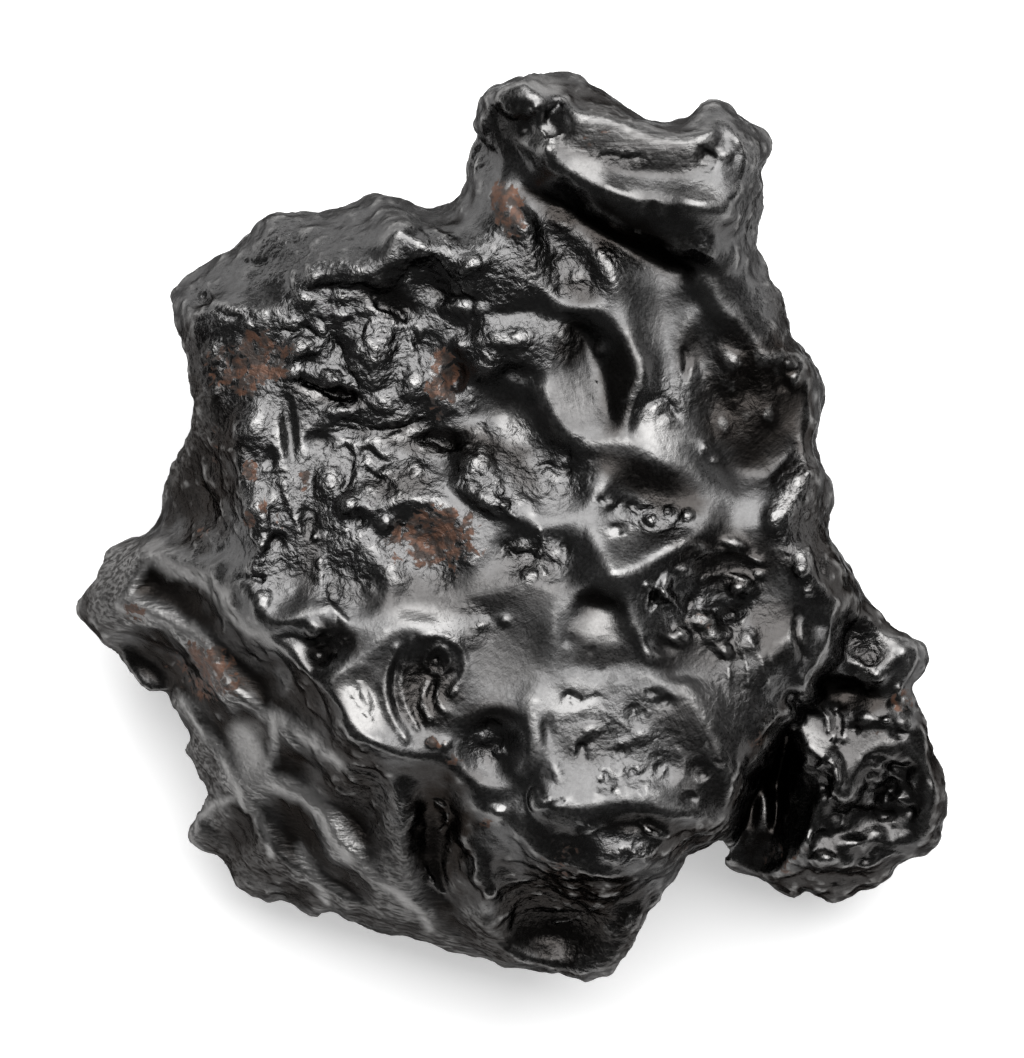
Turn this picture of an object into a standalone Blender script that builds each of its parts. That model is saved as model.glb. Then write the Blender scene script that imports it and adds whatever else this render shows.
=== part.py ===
"""An iron meteorite: one solid lump with a black crust, thumbprint hollows and worn ridges.

The stone is drawn on a plan sheet seen from above. Its outline, its crests and its hollows
are laid down by hand; the skin between them is a membrane that is pinned along the crests
and sags into the hollows. An upper and a lower skin meet along the outline.
"""

import math

import bmesh
import bpy
import numpy as np
from mathutils import Vector, noise

# The plan sheet: x runs right, y runs down (towards -Y), one unit is 0.14 mm. Heights are in mm.
SHEET_WIDTH = 1024
SHEET_HEIGHT = 1058
PLAN_UNIT = 0.14
MM = 0.001

# Driving dimensions, in mm.
BLANK_STEP = 0.56        # spacing of the grid that the two skins are cut from
EDGE_REACH = 3.6         # how far in from the outline the rounding of the edge starts
EDGE_SWELL = 2.2         # how far the skin swells at the end of that rounding
BELLY_REACH = 24.0       # plan distance over which the underside falls from the outline
BELLY_START = 7.2        # plan distance at which the dome under the stone starts
BELLY_DOME = 3.4         # how far the middle of the underside stays off the ground
FOOT_RADIUS = 3.6        # radius of each worn foot
FOOT_BLEND = 9.0         # distance over which a foot runs out into the underside
SCOOP_SPACING = 17.0     # spacing of the thumbprints on the sides and the underside
SCOOP_DEPTH = 2.6        # their depth
SKIN_SOFTENING = 0.75    # rounding of every crest
VOXEL = 0.85             # size of the cells that the closed solid is rebuilt with
TRIANGLES = 9600         # faces of the finished solid
FOOT_FLATTENING = 0.35   # what stands lower than this is worn flat

# How the curves and the membranes are drawn.
CURVE_SPACING = 4        # plan distance between the points of a smoothed curve
CREST_CROWN = 0.1        # how much lower a crest is at its sides, as a share of its width
SCOOP_STEEPNESS = 3.2    # how steeply a thumbprint falls from its rim
OVER_RELAXATION = 1.85
RELAX_SWEEPS = 140

# Spots where the stone touches the ground: plan x, plan y.
FEET = ((330, 470), (600, 260), (700, 560), (480, 760))

# The outline, clockwise from the left: plan x, plan y, and the height at which the two skins meet.
OUTLINE = [
    (171, 300, 33.9), (178, 285, 33), (200, 267, 34), (226, 252, 35), (248, 231, 36), (262, 219, 37),
    (277, 212, 38), (305, 210, 38), (347, 206, 39), (362, 197, 39), (382, 193, 40), (403, 197, 40),
    (412, 203, 39), (426, 210, 38), (440, 207, 38), (460, 195, 42.5), (466, 178, 43.5), (468, 160, 44.5),
    (474, 141, 45.5), (477, 115, 47.5), (482, 98, 48.5), (492, 86, 49.5), (520, 78, 50.5), (542, 74.5, 49),
    (556, 73, 47.6), (578, 78, 47.5), (592, 86, 47.5), (610, 96, 48), (627, 108, 50.1), (640, 118, 50.5),
    (655, 124, 50.5), (678, 123, 50.5), (694, 114, 50.5), (706, 103, 50.5), (716, 100, 50.5),
    (730, 107, 49.5), (746, 119, 48.5), (763, 130, 47.5), (772, 142, 46.5), (768, 155, 45.5),
    (761, 174, 45.5), (763, 186, 45.5), (761, 205, 44.5), (758, 228, 43.5), (760, 255, 42.5),
    (766, 273, 42.5), (778, 290, 42.5), (784, 313, 41.5), (791, 331, 40.5), (803, 348, 39.5),
    (815, 362, 38.5), (823, 388, 38.5), (820, 430, 38.5), (817, 440, 38.5), (821, 462, 35.5),
    (831, 480, 35.5), (834, 500, 35.5), (831, 526, 35.5), (839, 550, 34.5), (853, 572, 30),
    (865, 590, 30.4), (878, 612, 32.5), (893, 631, 31.7), (905, 635, 31.9), (920, 640, 32), (928, 652, 32),
    (925, 672, 31), (914, 690, 30), (918, 700, 30), (925, 720, 28.9), (933, 740, 27.7), (942, 758, 26.4),
    (945, 777, 26.1), (950, 800, 24.6), (946, 825, 22.1), (942, 846, 20.7), (930, 856, 19.5),
    (912, 865, 18.4), (900, 870, 17.4), (896, 880, 17.3), (880, 888, 16.2), (860, 895, 16.2),
    (838, 907, 15.2), (825, 901, 15.2), (808, 894, 15.2), (799, 901, 15.2), (785, 896, 15.2),
    (766, 885, 15.2), (755, 882, 15.3), (742, 877, 16.3), (730, 872, 16.3), (726, 866, 17.4),
    (731, 850, 19.6), (722, 843, 24.8), (705, 849, 33), (685, 859, 34), (676, 876, 34), (660, 897, 34),
    (648, 910, 33), (642, 930, 32), (637, 943, 31), (628, 954, 29), (618, 964, 28), (609, 977, 27),
    (600, 979, 26), (589, 984, 25), (578, 983, 25), (560, 978, 24), (535, 975, 21.9), (505, 972, 22.1),
    (488, 966, 19.3), (462, 957, 19), (433, 948, 18), (409, 939, 18), (377, 936, 17), (351, 927, 17),
    (333, 915, 16), (325, 912, 15), (312, 920, 14), (301, 915, 14), (281, 903, 14), (266, 908, 14),
    (252, 900, 14), (235, 890, 14.1), (226, 876, 14.2), (216, 862, 14.4), (200, 852, 14.6),
    (190, 842, 14.8), (188, 832, 15.1), (193, 823, 16.3), (202, 812, 17.6), (207, 797, 19.1),
    (201, 780, 19.6), (188, 765, 20), (181, 752, 20.3), (187, 738, 21.6), (180, 726, 21.8),
    (170, 710, 21.9), (165, 697, 22), (148, 695, 22), (135, 686, 22), (127, 672, 22), (112, 655, 22),
    (95, 636, 22), (80, 620, 22), (74, 612, 22), (79, 598, 23), (83, 588, 24), (92, 582, 25),
    (98, 568, 24.6), (103, 553, 22.8), (111, 541, 20.9), (130, 534, 20.5), (146, 529, 21.6), (157, 510, 23),
    (162, 490, 24), (166, 473, 26.5), (178, 457, 30.3), (186, 440, 35.1), (192, 420, 40), (194, 400, 40),
    (191, 372, 41), (188, 352, 41), (179, 335, 39.1), (174, 316, 36.8),
]

# Crests, steps and troughs that the upper skin is pinned to: the width of each in plan units,
# and its points as plan x, plan y and height.
CRESTS = {
    "north_rim": (13, [
        (184, 306, 39), (193, 318, 41), (207, 320, 43), (218, 311, 44), (235, 312, 45), (262, 316, 46),
        (282, 314, 46.5), (298, 308, 47), (310, 296, 48), (314, 282, 48.6), (322, 274, 49.2),
        (338, 270, 49.9), (352, 272, 50.4), (366, 276, 50.6), (380, 270, 51), (390, 258, 51.5),
        (394, 245, 51.8), (398, 232, 52), (408, 238, 52.2), (422, 246, 52.3), (438, 254, 52),
        (450, 262, 51.8), (465, 265, 51.6), (480, 262, 51.6), (490, 248, 51.5)]),
    "north_rim_foot": (0, [
        (320, 298, 47), (335, 296, 47.6), (350, 294, 48), (362, 296, 48), (380, 304, 47.6),
        (400, 318, 47.2), (425, 326, 47), (470, 326, 47.2)]),
    "north_pit_east_wall": (8, [
        (430, 249, 52), (446, 260, 51.5), (460, 274, 51.5), (472, 290, 51.2), (480, 305, 50)]),
    "north_shelf": (0, [
        (490, 252, 51.5), (505, 262, 51.2), (522, 272, 51), (532, 277, 51)]),
    "north_shelf_low": (10, [
        (485, 292, 50), (500, 296, 50.2), (516, 297, 50.2), (530, 292, 50.4), (538, 285, 50.8)]),
    "plateau_valley": (0, [
        (490, 312, 48.8), (510, 314, 48.6), (535, 312, 48.6), (552, 318, 48.6)]),
    "plateau": (16, [
        (490, 342, 49.4), (515, 347, 49.6), (540, 347, 49.5), (555, 342, 49.2)]),
    "shoulder_edge": (6, [
        (478, 142, 42.5), (484, 165, 45), (489, 190, 47.5), (484, 210, 48), (491, 222, 50), (505, 232, 51),
        (515, 240, 51), (524, 258, 51), (533, 272, 51)]),
    "shoulder": (16, [
        (500, 190, 50), (512, 212, 51.5), (522, 230, 52), (530, 250, 51.5)]),
    "stripe": (10, [
        (528, 206, 49.9), (548, 216, 49.7), (568, 228, 49.7), (588, 240, 49.7), (604, 254, 50)]),
    "stripe_trough": (0, [
        (540, 234, 48.6), (560, 244, 48.4), (582, 258, 48.6)]),
    "valley": (0, [
        (520, 188, 50), (550, 200, 49.2), (580, 216, 48.7), (610, 236, 48.2), (640, 252, 47.6),
        (668, 266, 47), (690, 270, 46.8), (706, 272, 46.8)]),
    "knob_ridge": (14, [
        (540, 150, 54.6), (556, 163, 55.2), (574, 174, 55.8), (592, 184, 56.1), (612, 193, 56.4),
        (632, 200, 56.4), (652, 203, 56.4), (672, 204, 56.8), (692, 206, 57.2), (708, 210, 57.1)]),
    "knob_lumps": (10, [
        (590, 208, 54.4), (615, 222, 54.2), (640, 230, 53.4), (665, 238, 54.2), (690, 248, 54.4),
        (710, 256, 53), (722, 263, 50.5)]),
    "knob_north_edge": (6, [
        (572, 118, 55.8), (600, 118, 55.7), (628, 124, 55.5), (648, 130, 55.4), (660, 138, 55.3),
        (680, 142, 55.3), (700, 139, 55.4), (712, 132, 55.4)]),
    "knob_dish": (0, [
        (578, 136, 55.5), (610, 142, 55.2), (650, 150, 55.1), (690, 156, 55.1)]),
    "knob_left": (13, [
        (488, 118, 49), (492, 104, 51.5), (504, 97, 53.5), (520, 94, 54.5), (534, 98, 55), (541, 108, 55),
        (542, 125, 53)]),
    "knob_left_low": (13, [
        (490, 140, 47.5), (510, 150, 49), (522, 160, 50)]),
    "knob_edge": (5, [
        (556, 84, 50.5), (562, 97, 53.5), (566, 110, 54.6), (568, 125, 54.8)]),
    "knob_right": (14, [
        (722, 125, 53), (735, 140, 53.5), (742, 160, 53.2), (742, 178, 53)]),
    "knob_side": (6, [
        (737, 192, 54), (742, 210, 50.5), (748, 225, 46.5), (754, 238, 42.5)]),
    "right_crest": (10, [
        (692, 263, 50), (700, 275, 50), (709, 290, 49.5), (715, 303, 49), (725, 313, 48.5), (739, 318, 48),
        (747, 328, 47.5), (756, 342, 47), (765, 354, 46.5), (778, 357, 46)]),
    "right_rim": (14, [
        (778, 357, 46), (792, 362, 45), (803, 374, 43.8), (807, 390, 42.8), (805, 410, 42.6),
        (802, 432, 42.8), (804, 450, 43.4), (809, 466, 44.6), (813, 478, 45)]),
    "east_basin_foot": (12, [
        (622, 437, 49.7), (640, 448, 49.6), (660, 459, 49.3), (680, 468, 48.5), (698, 480, 47.5),
        (712, 492, 46.7), (724, 502, 46.2), (740, 511, 45.8), (756, 516, 45.6), (772, 508, 45.7),
        (786, 496, 45.7), (798, 484, 45.5), (808, 474, 45)]),
    "east_basin_west_slope": (0, [
        (712, 312, 47.4), (704, 330, 46.4), (700, 348, 45.8), (700, 368, 45.5), (710, 385, 45),
        (720, 405, 44.2), (724, 425, 44)]),
    "north_spur": (6, [
        (622, 300, 50), (623, 318, 50), (627, 335, 50.5), (634, 352, 50.5), (644, 372, 50.5),
        (640, 385, 50.3), (631, 402, 50), (625, 418, 49.8), (622, 433, 49.5)]),
    "knob_foot_spur": (8, [
        (600, 256, 51), (606, 268, 51), (613, 283, 51), (620, 300, 50)]),
    "knob_foot_pit_sill": (6, [
        (533, 274, 51), (543, 286, 50.8), (553, 298, 50.6), (563, 308, 50.5), (580, 310, 50.5),
        (598, 309, 50.5), (610, 318, 50.2), (624, 332, 50.3)]),
    "north_middle_trough": (0, [
        (566, 320, 47.8), (580, 334, 46), (592, 352, 45.4), (601, 375, 45.8), (607, 400, 46.6),
        (610, 422, 47.8)]),
    "north_middle_swell": (14, [
        (556, 334, 49.2), (550, 352, 48.8), (545, 372, 48.8), (548, 395, 49.2), (560, 420, 49.5),
        (577, 438, 49.7), (597, 444, 49.8), (622, 437, 49.7)]),
    "east_trough_sill": (9, [
        (645, 374, 49.8), (660, 380, 47.8), (678, 381, 47.2), (690, 374, 47)]),
    "east_trough_bank": (8, [
        (700, 300, 47), (690, 318, 47.5), (680, 335, 47.3), (676, 352, 47)]),
    "star_west": (7, [
        (587, 515, 50), (593, 530, 51), (599, 548, 52), (606, 563, 53.5), (613, 575, 55)]),
    "star_east": (8, [
        (613, 575, 55), (628, 573, 54), (642, 566, 53), (655, 557, 52.3), (668, 550, 51.8), (684, 543, 51),
        (694, 538, 50.5)]),
    "star_south": (7, [
        (613, 575, 55), (619, 588, 53.5), (622, 602, 53), (630, 620, 52.6), (638, 636, 52.3),
        (645, 650, 52), (655, 664, 52)]),
    "star_southwest": (7, [
        (613, 575, 55), (600, 580, 53.5), (586, 590, 52.5), (570, 602, 52)]),
    "star_north_bank": (8, [
        (558, 524, 49.9), (573, 519, 50.3), (587, 515, 50), (594, 500, 50), (602, 485, 50),
        (604, 470, 49.5)]),
    "rough_basin_bank": (12, [
        (694, 538, 49.6), (700, 525, 48.6), (706, 512, 47.6), (716, 506, 47)]),
    "rough_basin_brow": (12, [
        (748, 518, 46.4), (764, 532, 46.2), (778, 545, 46), (788, 562, 45.6), (792, 580, 45.2),
        (802, 596, 44.8), (820, 600, 44), (833, 610, 43.2)]),
    "rim_ridge": (16, [
        (800, 490, 45.5), (788, 505, 46.5), (770, 520, 47.5)]),
    "rim_knuckle": (16, [
        (802, 560, 46), (804, 575, 46), (815, 585, 45.5)]),
    "edge_knuckle": (13, [
        (830, 560, 41.5), (845, 580, 40.5), (850, 594, 40)]),
    "slab_edge": (4, [
        (851, 582, 39.5), (848, 598, 40.5), (841, 612, 41.5), (838, 630, 41.8), (833, 643, 42),
        (822, 658, 42.4), (812, 672, 43), (808, 686, 43.2), (804, 700, 43.5), (792, 712, 43.6),
        (780, 727, 43.5), (768, 742, 43), (760, 757, 42.5), (750, 770, 42.3), (747, 788, 42),
        (736, 793, 42), (737, 805, 42), (733, 818, 41), (726, 829, 39.5), (715, 836, 38), (700, 844, 37)]),
    "facet_north_rim": (9, [
        (556, 672, 51), (575, 680, 51), (600, 684, 51), (622, 679, 50.9), (640, 673, 51), (655, 677, 50.9),
        (668, 686, 50.6), (684, 700, 50.2), (700, 722, 49.4), (712, 746, 48.4)]),
    "facet_west_rim": (13, [
        (556, 672, 51), (547, 684, 51.2), (538, 695, 51.5), (532, 708, 51.8), (532, 725, 52),
        (533, 745, 52), (530, 762, 51.6), (524, 778, 50.6)]),
    "facet_step": (8, [
        (536, 708, 51.8), (555, 711, 51.4), (575, 713, 51.2), (600, 714, 51), (618, 720, 50.9),
        (630, 732, 50.8)]),
    "facet_south_rim": (14, [
        (540, 798, 52.2), (560, 804, 52.6), (582, 806, 52.6), (600, 802, 52.4), (622, 798, 52),
        (645, 800, 51.4), (665, 808, 50.6), (690, 814, 49), (715, 820, 46)]),
    "facet_east_rim": (16, [
        (682, 688, 50.2), (695, 710, 49.8), (708, 735, 49.2), (722, 765, 48.2), (728, 790, 46.8),
        (726, 812, 44.4)]),
    "star_to_facet": (9, [
        (556, 672, 51.1), (556, 650, 51.4), (555, 632, 51.8), (560, 615, 52.1), (570, 602, 52)]),
    "middle_rib": (6, [
        (470, 455, 48.9), (480, 462, 49.2), (488, 476, 49.6), (498, 490, 49.9), (505, 500, 49.9)]),
    "middle_cross_rib": (13, [
        (505, 500, 49.9), (522, 512, 50.2), (535, 525, 50.4), (548, 525, 50.3), (558, 524, 50.2)]),
    "rust_basin_east_rib": (13, [
        (505, 500, 49.9), (500, 520, 49.9), (490, 535, 49.9), (480, 552, 49.9), (476, 570, 49.9)]),
    "rust_basin_sill": (13, [
        (396, 588, 48.4), (402, 600, 49), (420, 606, 49.4), (440, 605, 49.6), (460, 601, 49.9),
        (480, 594, 50.3), (500, 588, 50.7), (525, 586, 51), (550, 590, 51.5), (570, 602, 52)]),
    "rust_basin_brow": (8, [
        (350, 505, 48.4), (375, 500, 48.9), (400, 502, 49.2), (420, 500, 49.5), (438, 503, 49.5),
        (452, 510, 49.5), (465, 525, 49.5), (468, 545, 49.7), (470, 560, 49.9)]),
    "west_basin_sill": (14, [
        (365, 545, 48.8), (380, 560, 49.2), (390, 575, 49.5), (396, 588, 49.7), (392, 604, 50),
        (382, 620, 50.4), (370, 629, 50.5), (352, 626, 50.1), (335, 620, 49.9), (318, 614, 49.6),
        (305, 618, 49.6), (292, 622, 49.2), (275, 621, 48.4), (262, 612, 47.6), (256, 600, 47),
        (253, 590, 46.5)]),
    "roll_undercut": (0, [
        (255, 634, 44.5), (275, 638, 45), (295, 634, 45.5), (305, 628, 46.6)]),
    "left_band": (11, [
        (250, 410, 45), (250, 430, 45.6), (243, 450, 45.7), (242, 475, 45.7), (248, 500, 46.2),
        (252, 520, 46.2), (254, 540, 46), (262, 552, 46.2), (256, 566, 46)]),
    "left_inner_band": (8, [
        (262, 400, 45.5), (268, 420, 46), (278, 440, 46.5), (285, 460, 46.6), (290, 480, 46.8),
        (294, 500, 46.8), (298, 520, 46.8), (292, 535, 46.5)]),
    "left_cliff": (0, [
        (205, 405, 41.5), (215, 425, 42), (222, 450, 42), (230, 478, 42), (236, 498, 42), (242, 520, 42),
        (246, 545, 43)]),
    "left_rim": (7, [
        (146, 531, 26), (150, 545, 30), (160, 552, 33), (178, 560, 36), (200, 568, 39), (214, 574, 41.4),
        (224, 590, 43), (234, 608, 44.2), (246, 622, 45.2), (258, 632, 45.8), (275, 641, 46.8),
        (292, 645, 47.6), (300, 662, 48.2), (315, 680, 48.8), (328, 690, 49.6), (340, 705, 50.9),
        (352, 725, 51.6), (366, 740, 51.8), (385, 747, 51.2), (400, 755, 50.6), (418, 757, 50),
        (440, 752, 49.8), (455, 760, 49.4), (466, 775, 48.8)]),
    "round_pit_brow": (13, [
        (305, 628, 48.6), (330, 628, 49.7)]),
    "terrace_pit_brow": (14, [
        (328, 690, 50), (335, 675, 50.2), (350, 666, 50.5), (368, 658, 50.7), (378, 645, 50.9),
        (390, 632, 51.1), (405, 626, 51.2), (425, 630, 51.3), (440, 637, 51.2), (452, 643, 51)]),
    "terrace_pit_west_rib": (8, [
        (372, 662, 50.4), (381, 676, 50.1), (383, 700, 50), (387, 722, 50.2), (396, 740, 50.4)]),
    "terrace_pit_east_rim": (8, [
        (452, 640, 50.4), (462, 655, 50.2), (472, 668, 50.2), (466, 688, 50.1), (452, 700, 49.9),
        (442, 712, 49.9), (425, 727, 49.2)]),
    "deep_pit_brow": (13, [
        (470, 715, 50.1), (480, 708, 50.4), (500, 706, 50.7), (516, 712, 51.1)]),
    "deep_pit_west_bank": (16, [
        (444, 714, 49.9), (462, 712, 49.9), (470, 715, 50.1)]),
    "deep_pit_sill": (16, [
        (466, 778, 48.8), (480, 786, 48.8), (500, 790, 48.8), (524, 780, 49.4)]),
    "south_swell": (22, [
        (475, 800, 47.8), (497, 806, 48.2), (520, 800, 49)]),
    "tall_cavity_west_rim": (8, [
        (404, 770, 46), (398, 790, 44.5), (402, 812, 42.5), (398, 830, 40.5), (404, 852, 38),
        (403, 872, 35.5), (413, 892, 32), (430, 908, 28.5), (446, 925, 26), (462, 945, 23)]),
    "tall_cavity_east_rim": (10, [
        (467, 785, 47), (468, 805, 46), (476, 822, 45), (472, 840, 43), (480, 858, 42), (480, 874, 40.5),
        (492, 886, 39), (491, 902, 37), (487, 915, 35), (492, 930, 32), (500, 945, 29)]),
    "south_lip": (8, [
        (500, 948, 29), (515, 957, 28), (540, 968, 27), (570, 973, 26), (598, 966, 27), (616, 948, 29),
        (622, 925, 31), (630, 903, 33), (645, 886, 34.5), (665, 868, 36), (690, 850, 38)]),
    "south_cavity_brow": (16, [
        (520, 812, 49.4), (528, 830, 48.8), (540, 845, 48.2), (556, 856, 47.8), (580, 864, 47.8),
        (605, 870, 47.6), (640, 868, 46.6), (665, 858, 45.6)]),
    "lobe_top": (8, [
        (853, 590, 33.4), (866, 605, 33.6), (880, 622, 33.6), (890, 636, 33.4)]),
    "lobe_fold": (12, [
        (846, 630, 32.4), (850, 652, 32.8), (860, 668, 33.3), (872, 674, 33.6), (886, 668, 33.4),
        (896, 654, 33.2), (904, 644, 33), (912, 652, 32.5), (908, 666, 32), (900, 680, 31.6),
        (894, 692, 31)]),
    "lobe_under": (0, [
        (818, 684, 29), (840, 696, 29.2), (862, 700, 29.4), (882, 700, 30)]),
    "lobe_ledge": (14, [
        (800, 706, 30), (820, 716, 30.2), (845, 724, 30.4), (866, 716, 31), (880, 708, 31.2),
        (905, 704, 30.5)]),
    "lobe_nose": (12, [
        (798, 730, 31), (808, 748, 32), (822, 764, 32.6), (834, 780, 32.6), (845, 797, 32),
        (852, 778, 31.4), (862, 760, 31.2), (878, 750, 31.2), (895, 746, 31), (912, 748, 29.5)]),
    "lobe_nose_rib": (8, [
        (806, 768, 29), (815, 762, 30), (822, 770, 29), (832, 800, 28)]),
    "lobe_right": (8, [
        (912, 748, 29.5), (924, 765, 28.5), (930, 785, 27.5), (928, 800, 27), (932, 825, 25.5),
        (926, 845, 23.5)]),
    "lobe_inner_rib": (8, [
        (800, 850, 25), (808, 838, 26.5), (815, 820, 28), (818, 805, 29), (830, 800, 31)]),
    "lobe_foot_rib": (9, [
        (766, 885, 18), (782, 868, 21.5), (795, 858, 24), (808, 856, 25.5), (822, 858, 26),
        (838, 860, 25.5)]),
    "lobe_low": (9, [
        (838, 860, 25.5), (862, 866, 24), (880, 864, 23), (895, 856, 22.5), (912, 848, 22)]),
    "crevice": (0, [
        (788, 722, 20), (784, 745, 17), (782, 775, 15), (780, 805, 15), (778, 830, 15)]),
    "crevice_west": (0, [
        (758, 772, 17), (750, 800, 16), (742, 830, 16), (735, 842, 16)]),
    "lobe_rib_long": (13, [
        (762, 790, 19), (768, 810, 20), (768, 835, 19), (766, 850, 17)]),
    "lobe_rib_short": (16, [
        (748, 820, 18.5), (749, 840, 19), (750, 855, 17)]),
    "lobe_rib_slanting": (11, [
        (800, 790, 25), (796, 812, 23), (790, 835, 21), (780, 855, 19), (770, 870, 16)]),
    "rough_basin_sill": (18, [
        (655, 665, 50.4), (685, 668, 48), (715, 672, 46.9), (742, 668, 46.2), (765, 655, 45.8),
        (788, 640, 45)]),
    "knob_dish_low": (0, [
        (566, 150, 55), (590, 160, 54.5), (615, 169, 54.2), (650, 176, 54.2), (690, 178, 54.4),
        (722, 178, 54.8)]),
    "south_shelf_trough": (0, [
        (600, 833, 49.4), (625, 835, 49), (650, 838, 48), (680, 842, 46)]),
    "south_shelf": (18, [
        (605, 850, 49.4), (630, 853, 49.2), (652, 852, 48.2)]),
    "east_basin_floor": (0, [
        (722, 372, 45.8), (742, 395, 45), (758, 420, 43.9), (764, 445, 42.8)]),
    "east_basin_low": (0, [
        (716, 455, 44.4), (728, 466, 43.2), (745, 474, 42.4), (765, 475, 42), (782, 464, 41.8),
        (793, 448, 41.8)]),
    "knob_corner": (12, [
        (708, 210, 57.1), (722, 213, 56.4), (731, 204, 55.6), (737, 192, 54.8)]),
    "flank_shelf": (6, [
        (150, 553, 31.5), (140, 570, 30.5), (128, 588, 29.5), (116, 606, 28.5)]),
    "flank_upper_rib": (9, [
        (116, 606, 28.5), (134, 606, 30), (152, 614, 31.5), (172, 626, 33), (192, 637, 34.5),
        (205, 650, 35.5), (212, 668, 36.2), (224, 684, 36.8), (240, 698, 37), (256, 708, 36.6),
        (268, 722, 36), (274, 740, 35), (270, 760, 33), (274, 776, 32), (290, 788, 32.5)]),
    "flank_middle_rib": (10, [
        (262, 712, 36.4), (280, 716, 38.6), (296, 728, 40), (312, 742, 41), (330, 758, 42), (350, 768, 43)]),
    "flank_outer_rib": (9, [
        (178, 700, 24.5), (188, 714, 25.5), (200, 732, 26), (214, 746, 26.4), (225, 760, 27),
        (230, 780, 27), (242, 800, 26.8), (256, 816, 26.4), (266, 836, 26), (274, 856, 25)]),
    "flank_long_rib": (11, [
        (240, 786, 28), (265, 780, 30.5), (290, 788, 32.5), (312, 800, 33.5), (326, 816, 34),
        (336, 836, 34), (348, 852, 33.6), (366, 868, 32.6), (385, 884, 31.6), (405, 898, 31),
        (425, 915, 29)]),
    "flank_low_rib": (9, [
        (274, 856, 25), (290, 868, 25), (308, 880, 25), (326, 892, 25), (350, 905, 25), (380, 915, 24.5),
        (420, 930, 24.5), (455, 940, 24.5)]),
    "dish_edge": (7, [
        (200, 824, 16), (206, 811, 18), (222, 801, 21), (240, 800, 25)]),
    "star_south_trough": (0, [
        (576, 601, 50.5), (590, 604, 50.2), (606, 607, 50.2), (617, 613, 50.5)]),
    "star_south_swell": (18, [
        (562, 624, 51.5), (580, 633, 51.4), (600, 639, 51.3), (620, 643, 51.2), (634, 650, 51)]),
    "facet_foot": (0, [
        (562, 662, 50.7), (580, 668, 50.5), (604, 671, 50.4), (622, 667, 50.4), (638, 661, 50.5)]),
    "east_shelf_floor": (0, [
        (640, 402, 48.4), (655, 407, 47.7), (672, 408, 47.3), (690, 402, 46.9)]),
    "lobe_fold_floor": (0, [
        (854, 652, 31.7), (866, 659, 31.7), (880, 656, 31.9), (888, 646, 32.2)]),
}

# Hollows pressed into the upper skin: plan x, plan y, two radii, turn in degrees, depth.
HOLLOWS = {
    "corner_pit": (205, 302, 13, 13, 0, 1.2),
    "north_pit": (428, 286, 30, 34, 0, 1.8),
    "knob_foot_pit": (572, 283, 28, 27, 0, 1.3),
    "knob_notch": (553, 118, 13, 20, 0, 2),
    "east_basin": (752, 420, 46, 60, 0, 0),
    "east_trough": (662, 335, 26, 44, 0, 1.25),
    "east_shelf": (668, 408, 34, 26, 0, 0),
    "north_middle": (512, 415, 28, 34, 0, 1.7),
    "middle": (553, 480, 42, 42, 0, 2),
    "middle_south": (540, 556, 42, 30, 0, 2),
    "rust_basin": (425, 545, 44, 42, 0, 2),
    "rust_band": (475, 495, 26, 26, 0, 0.4),
    "west_basin": (352, 590, 30, 32, 0, 1.3),
    "roll_pit": (282, 592, 26, 30, 0, 1),
    "round_pit": (318, 652, 22, 24, 0, 2.56),
    "bright_wall": (364, 704, 14, 30, -20, 0.4),
    "terrace_pit": (430, 684, 36, 46, 10, 1.5),
    "smooth_pit": (505, 655, 42, 44, 0, 0.7),
    "deep_pit": (496, 742, 27, 32, 0, 2.38),
    "star_south_pit": (600, 620, 40, 30, 0, 0),
    "star_north_pit": (642, 515, 46, 30, 20, 1.6),
    "rough_basin": (712, 590, 60, 48, 20, 1.6),
    "rim_patch": (810, 640, 30, 36, 0, 0.8),
    "facet": (585, 755, 40, 36, 0, 0.5),
    "facet_ring": (665, 765, 30, 30, 0, 0.5),
    "tall_cavity": (440, 835, 26, 58, 0, 3.6),
    "south_cavity": (550, 905, 50, 50, -10, 6.5),
    "south_shelf": (620, 850, 44, 24, -20, 0.75),
    "west_middle": (330, 480, 26, 34, 0, 0.7),
    "west_face": (200, 520, 36, 34, 0, 1.98),
    "dark_step": (440, 452, 34, 16, 10, 0.8),
    "lobe_bowl": (892, 790, 30, 34, 0, 2.4),
    "lobe_plain": (832, 740, 26, 20, 0, 0.8),
    "lobe_low_pit": (850, 878, 30, 9, -8, 1),
    "lobe_nose_pit": (828, 785, 8, 18, 0, 1.26),
    "flank_slot": (188, 597, 62, 21, 33, 2.24),
    "flank_oval": (240, 668, 43, 28, 45, 2.94),
    "flank_gully": (302, 698, 36, 50, -25, 2.72),
    "flank_step": (296, 764, 24, 25, 0, 1.82),
    "flank_deep": (350, 800, 55, 48, 30, 3),
    "flank_round": (208, 722, 24, 21, 45, 1.68),
    "flank_wide": (246, 740, 24, 26, 0, 1),
    "flank_brown": (160, 668, 56, 24, 28, 4),
    "flank_short": (140, 590, 20, 10, -50, 0.9),
    "flank_slit": (290, 838, 26, 42, -35, 2.6),
    "flank_pit": (374, 842, 41, 42, -20, 2.8),
    "lower_dish": (225, 852, 36, 38, 0, 2.4),
    "lower_slot": (345, 890, 30, 12, 30, 2),
    "lower_dark": (300, 895, 28, 16, 20, 2.2),
    "lobe_dip": (848, 812, 20, 10, 0, 1.2),
}


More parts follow.
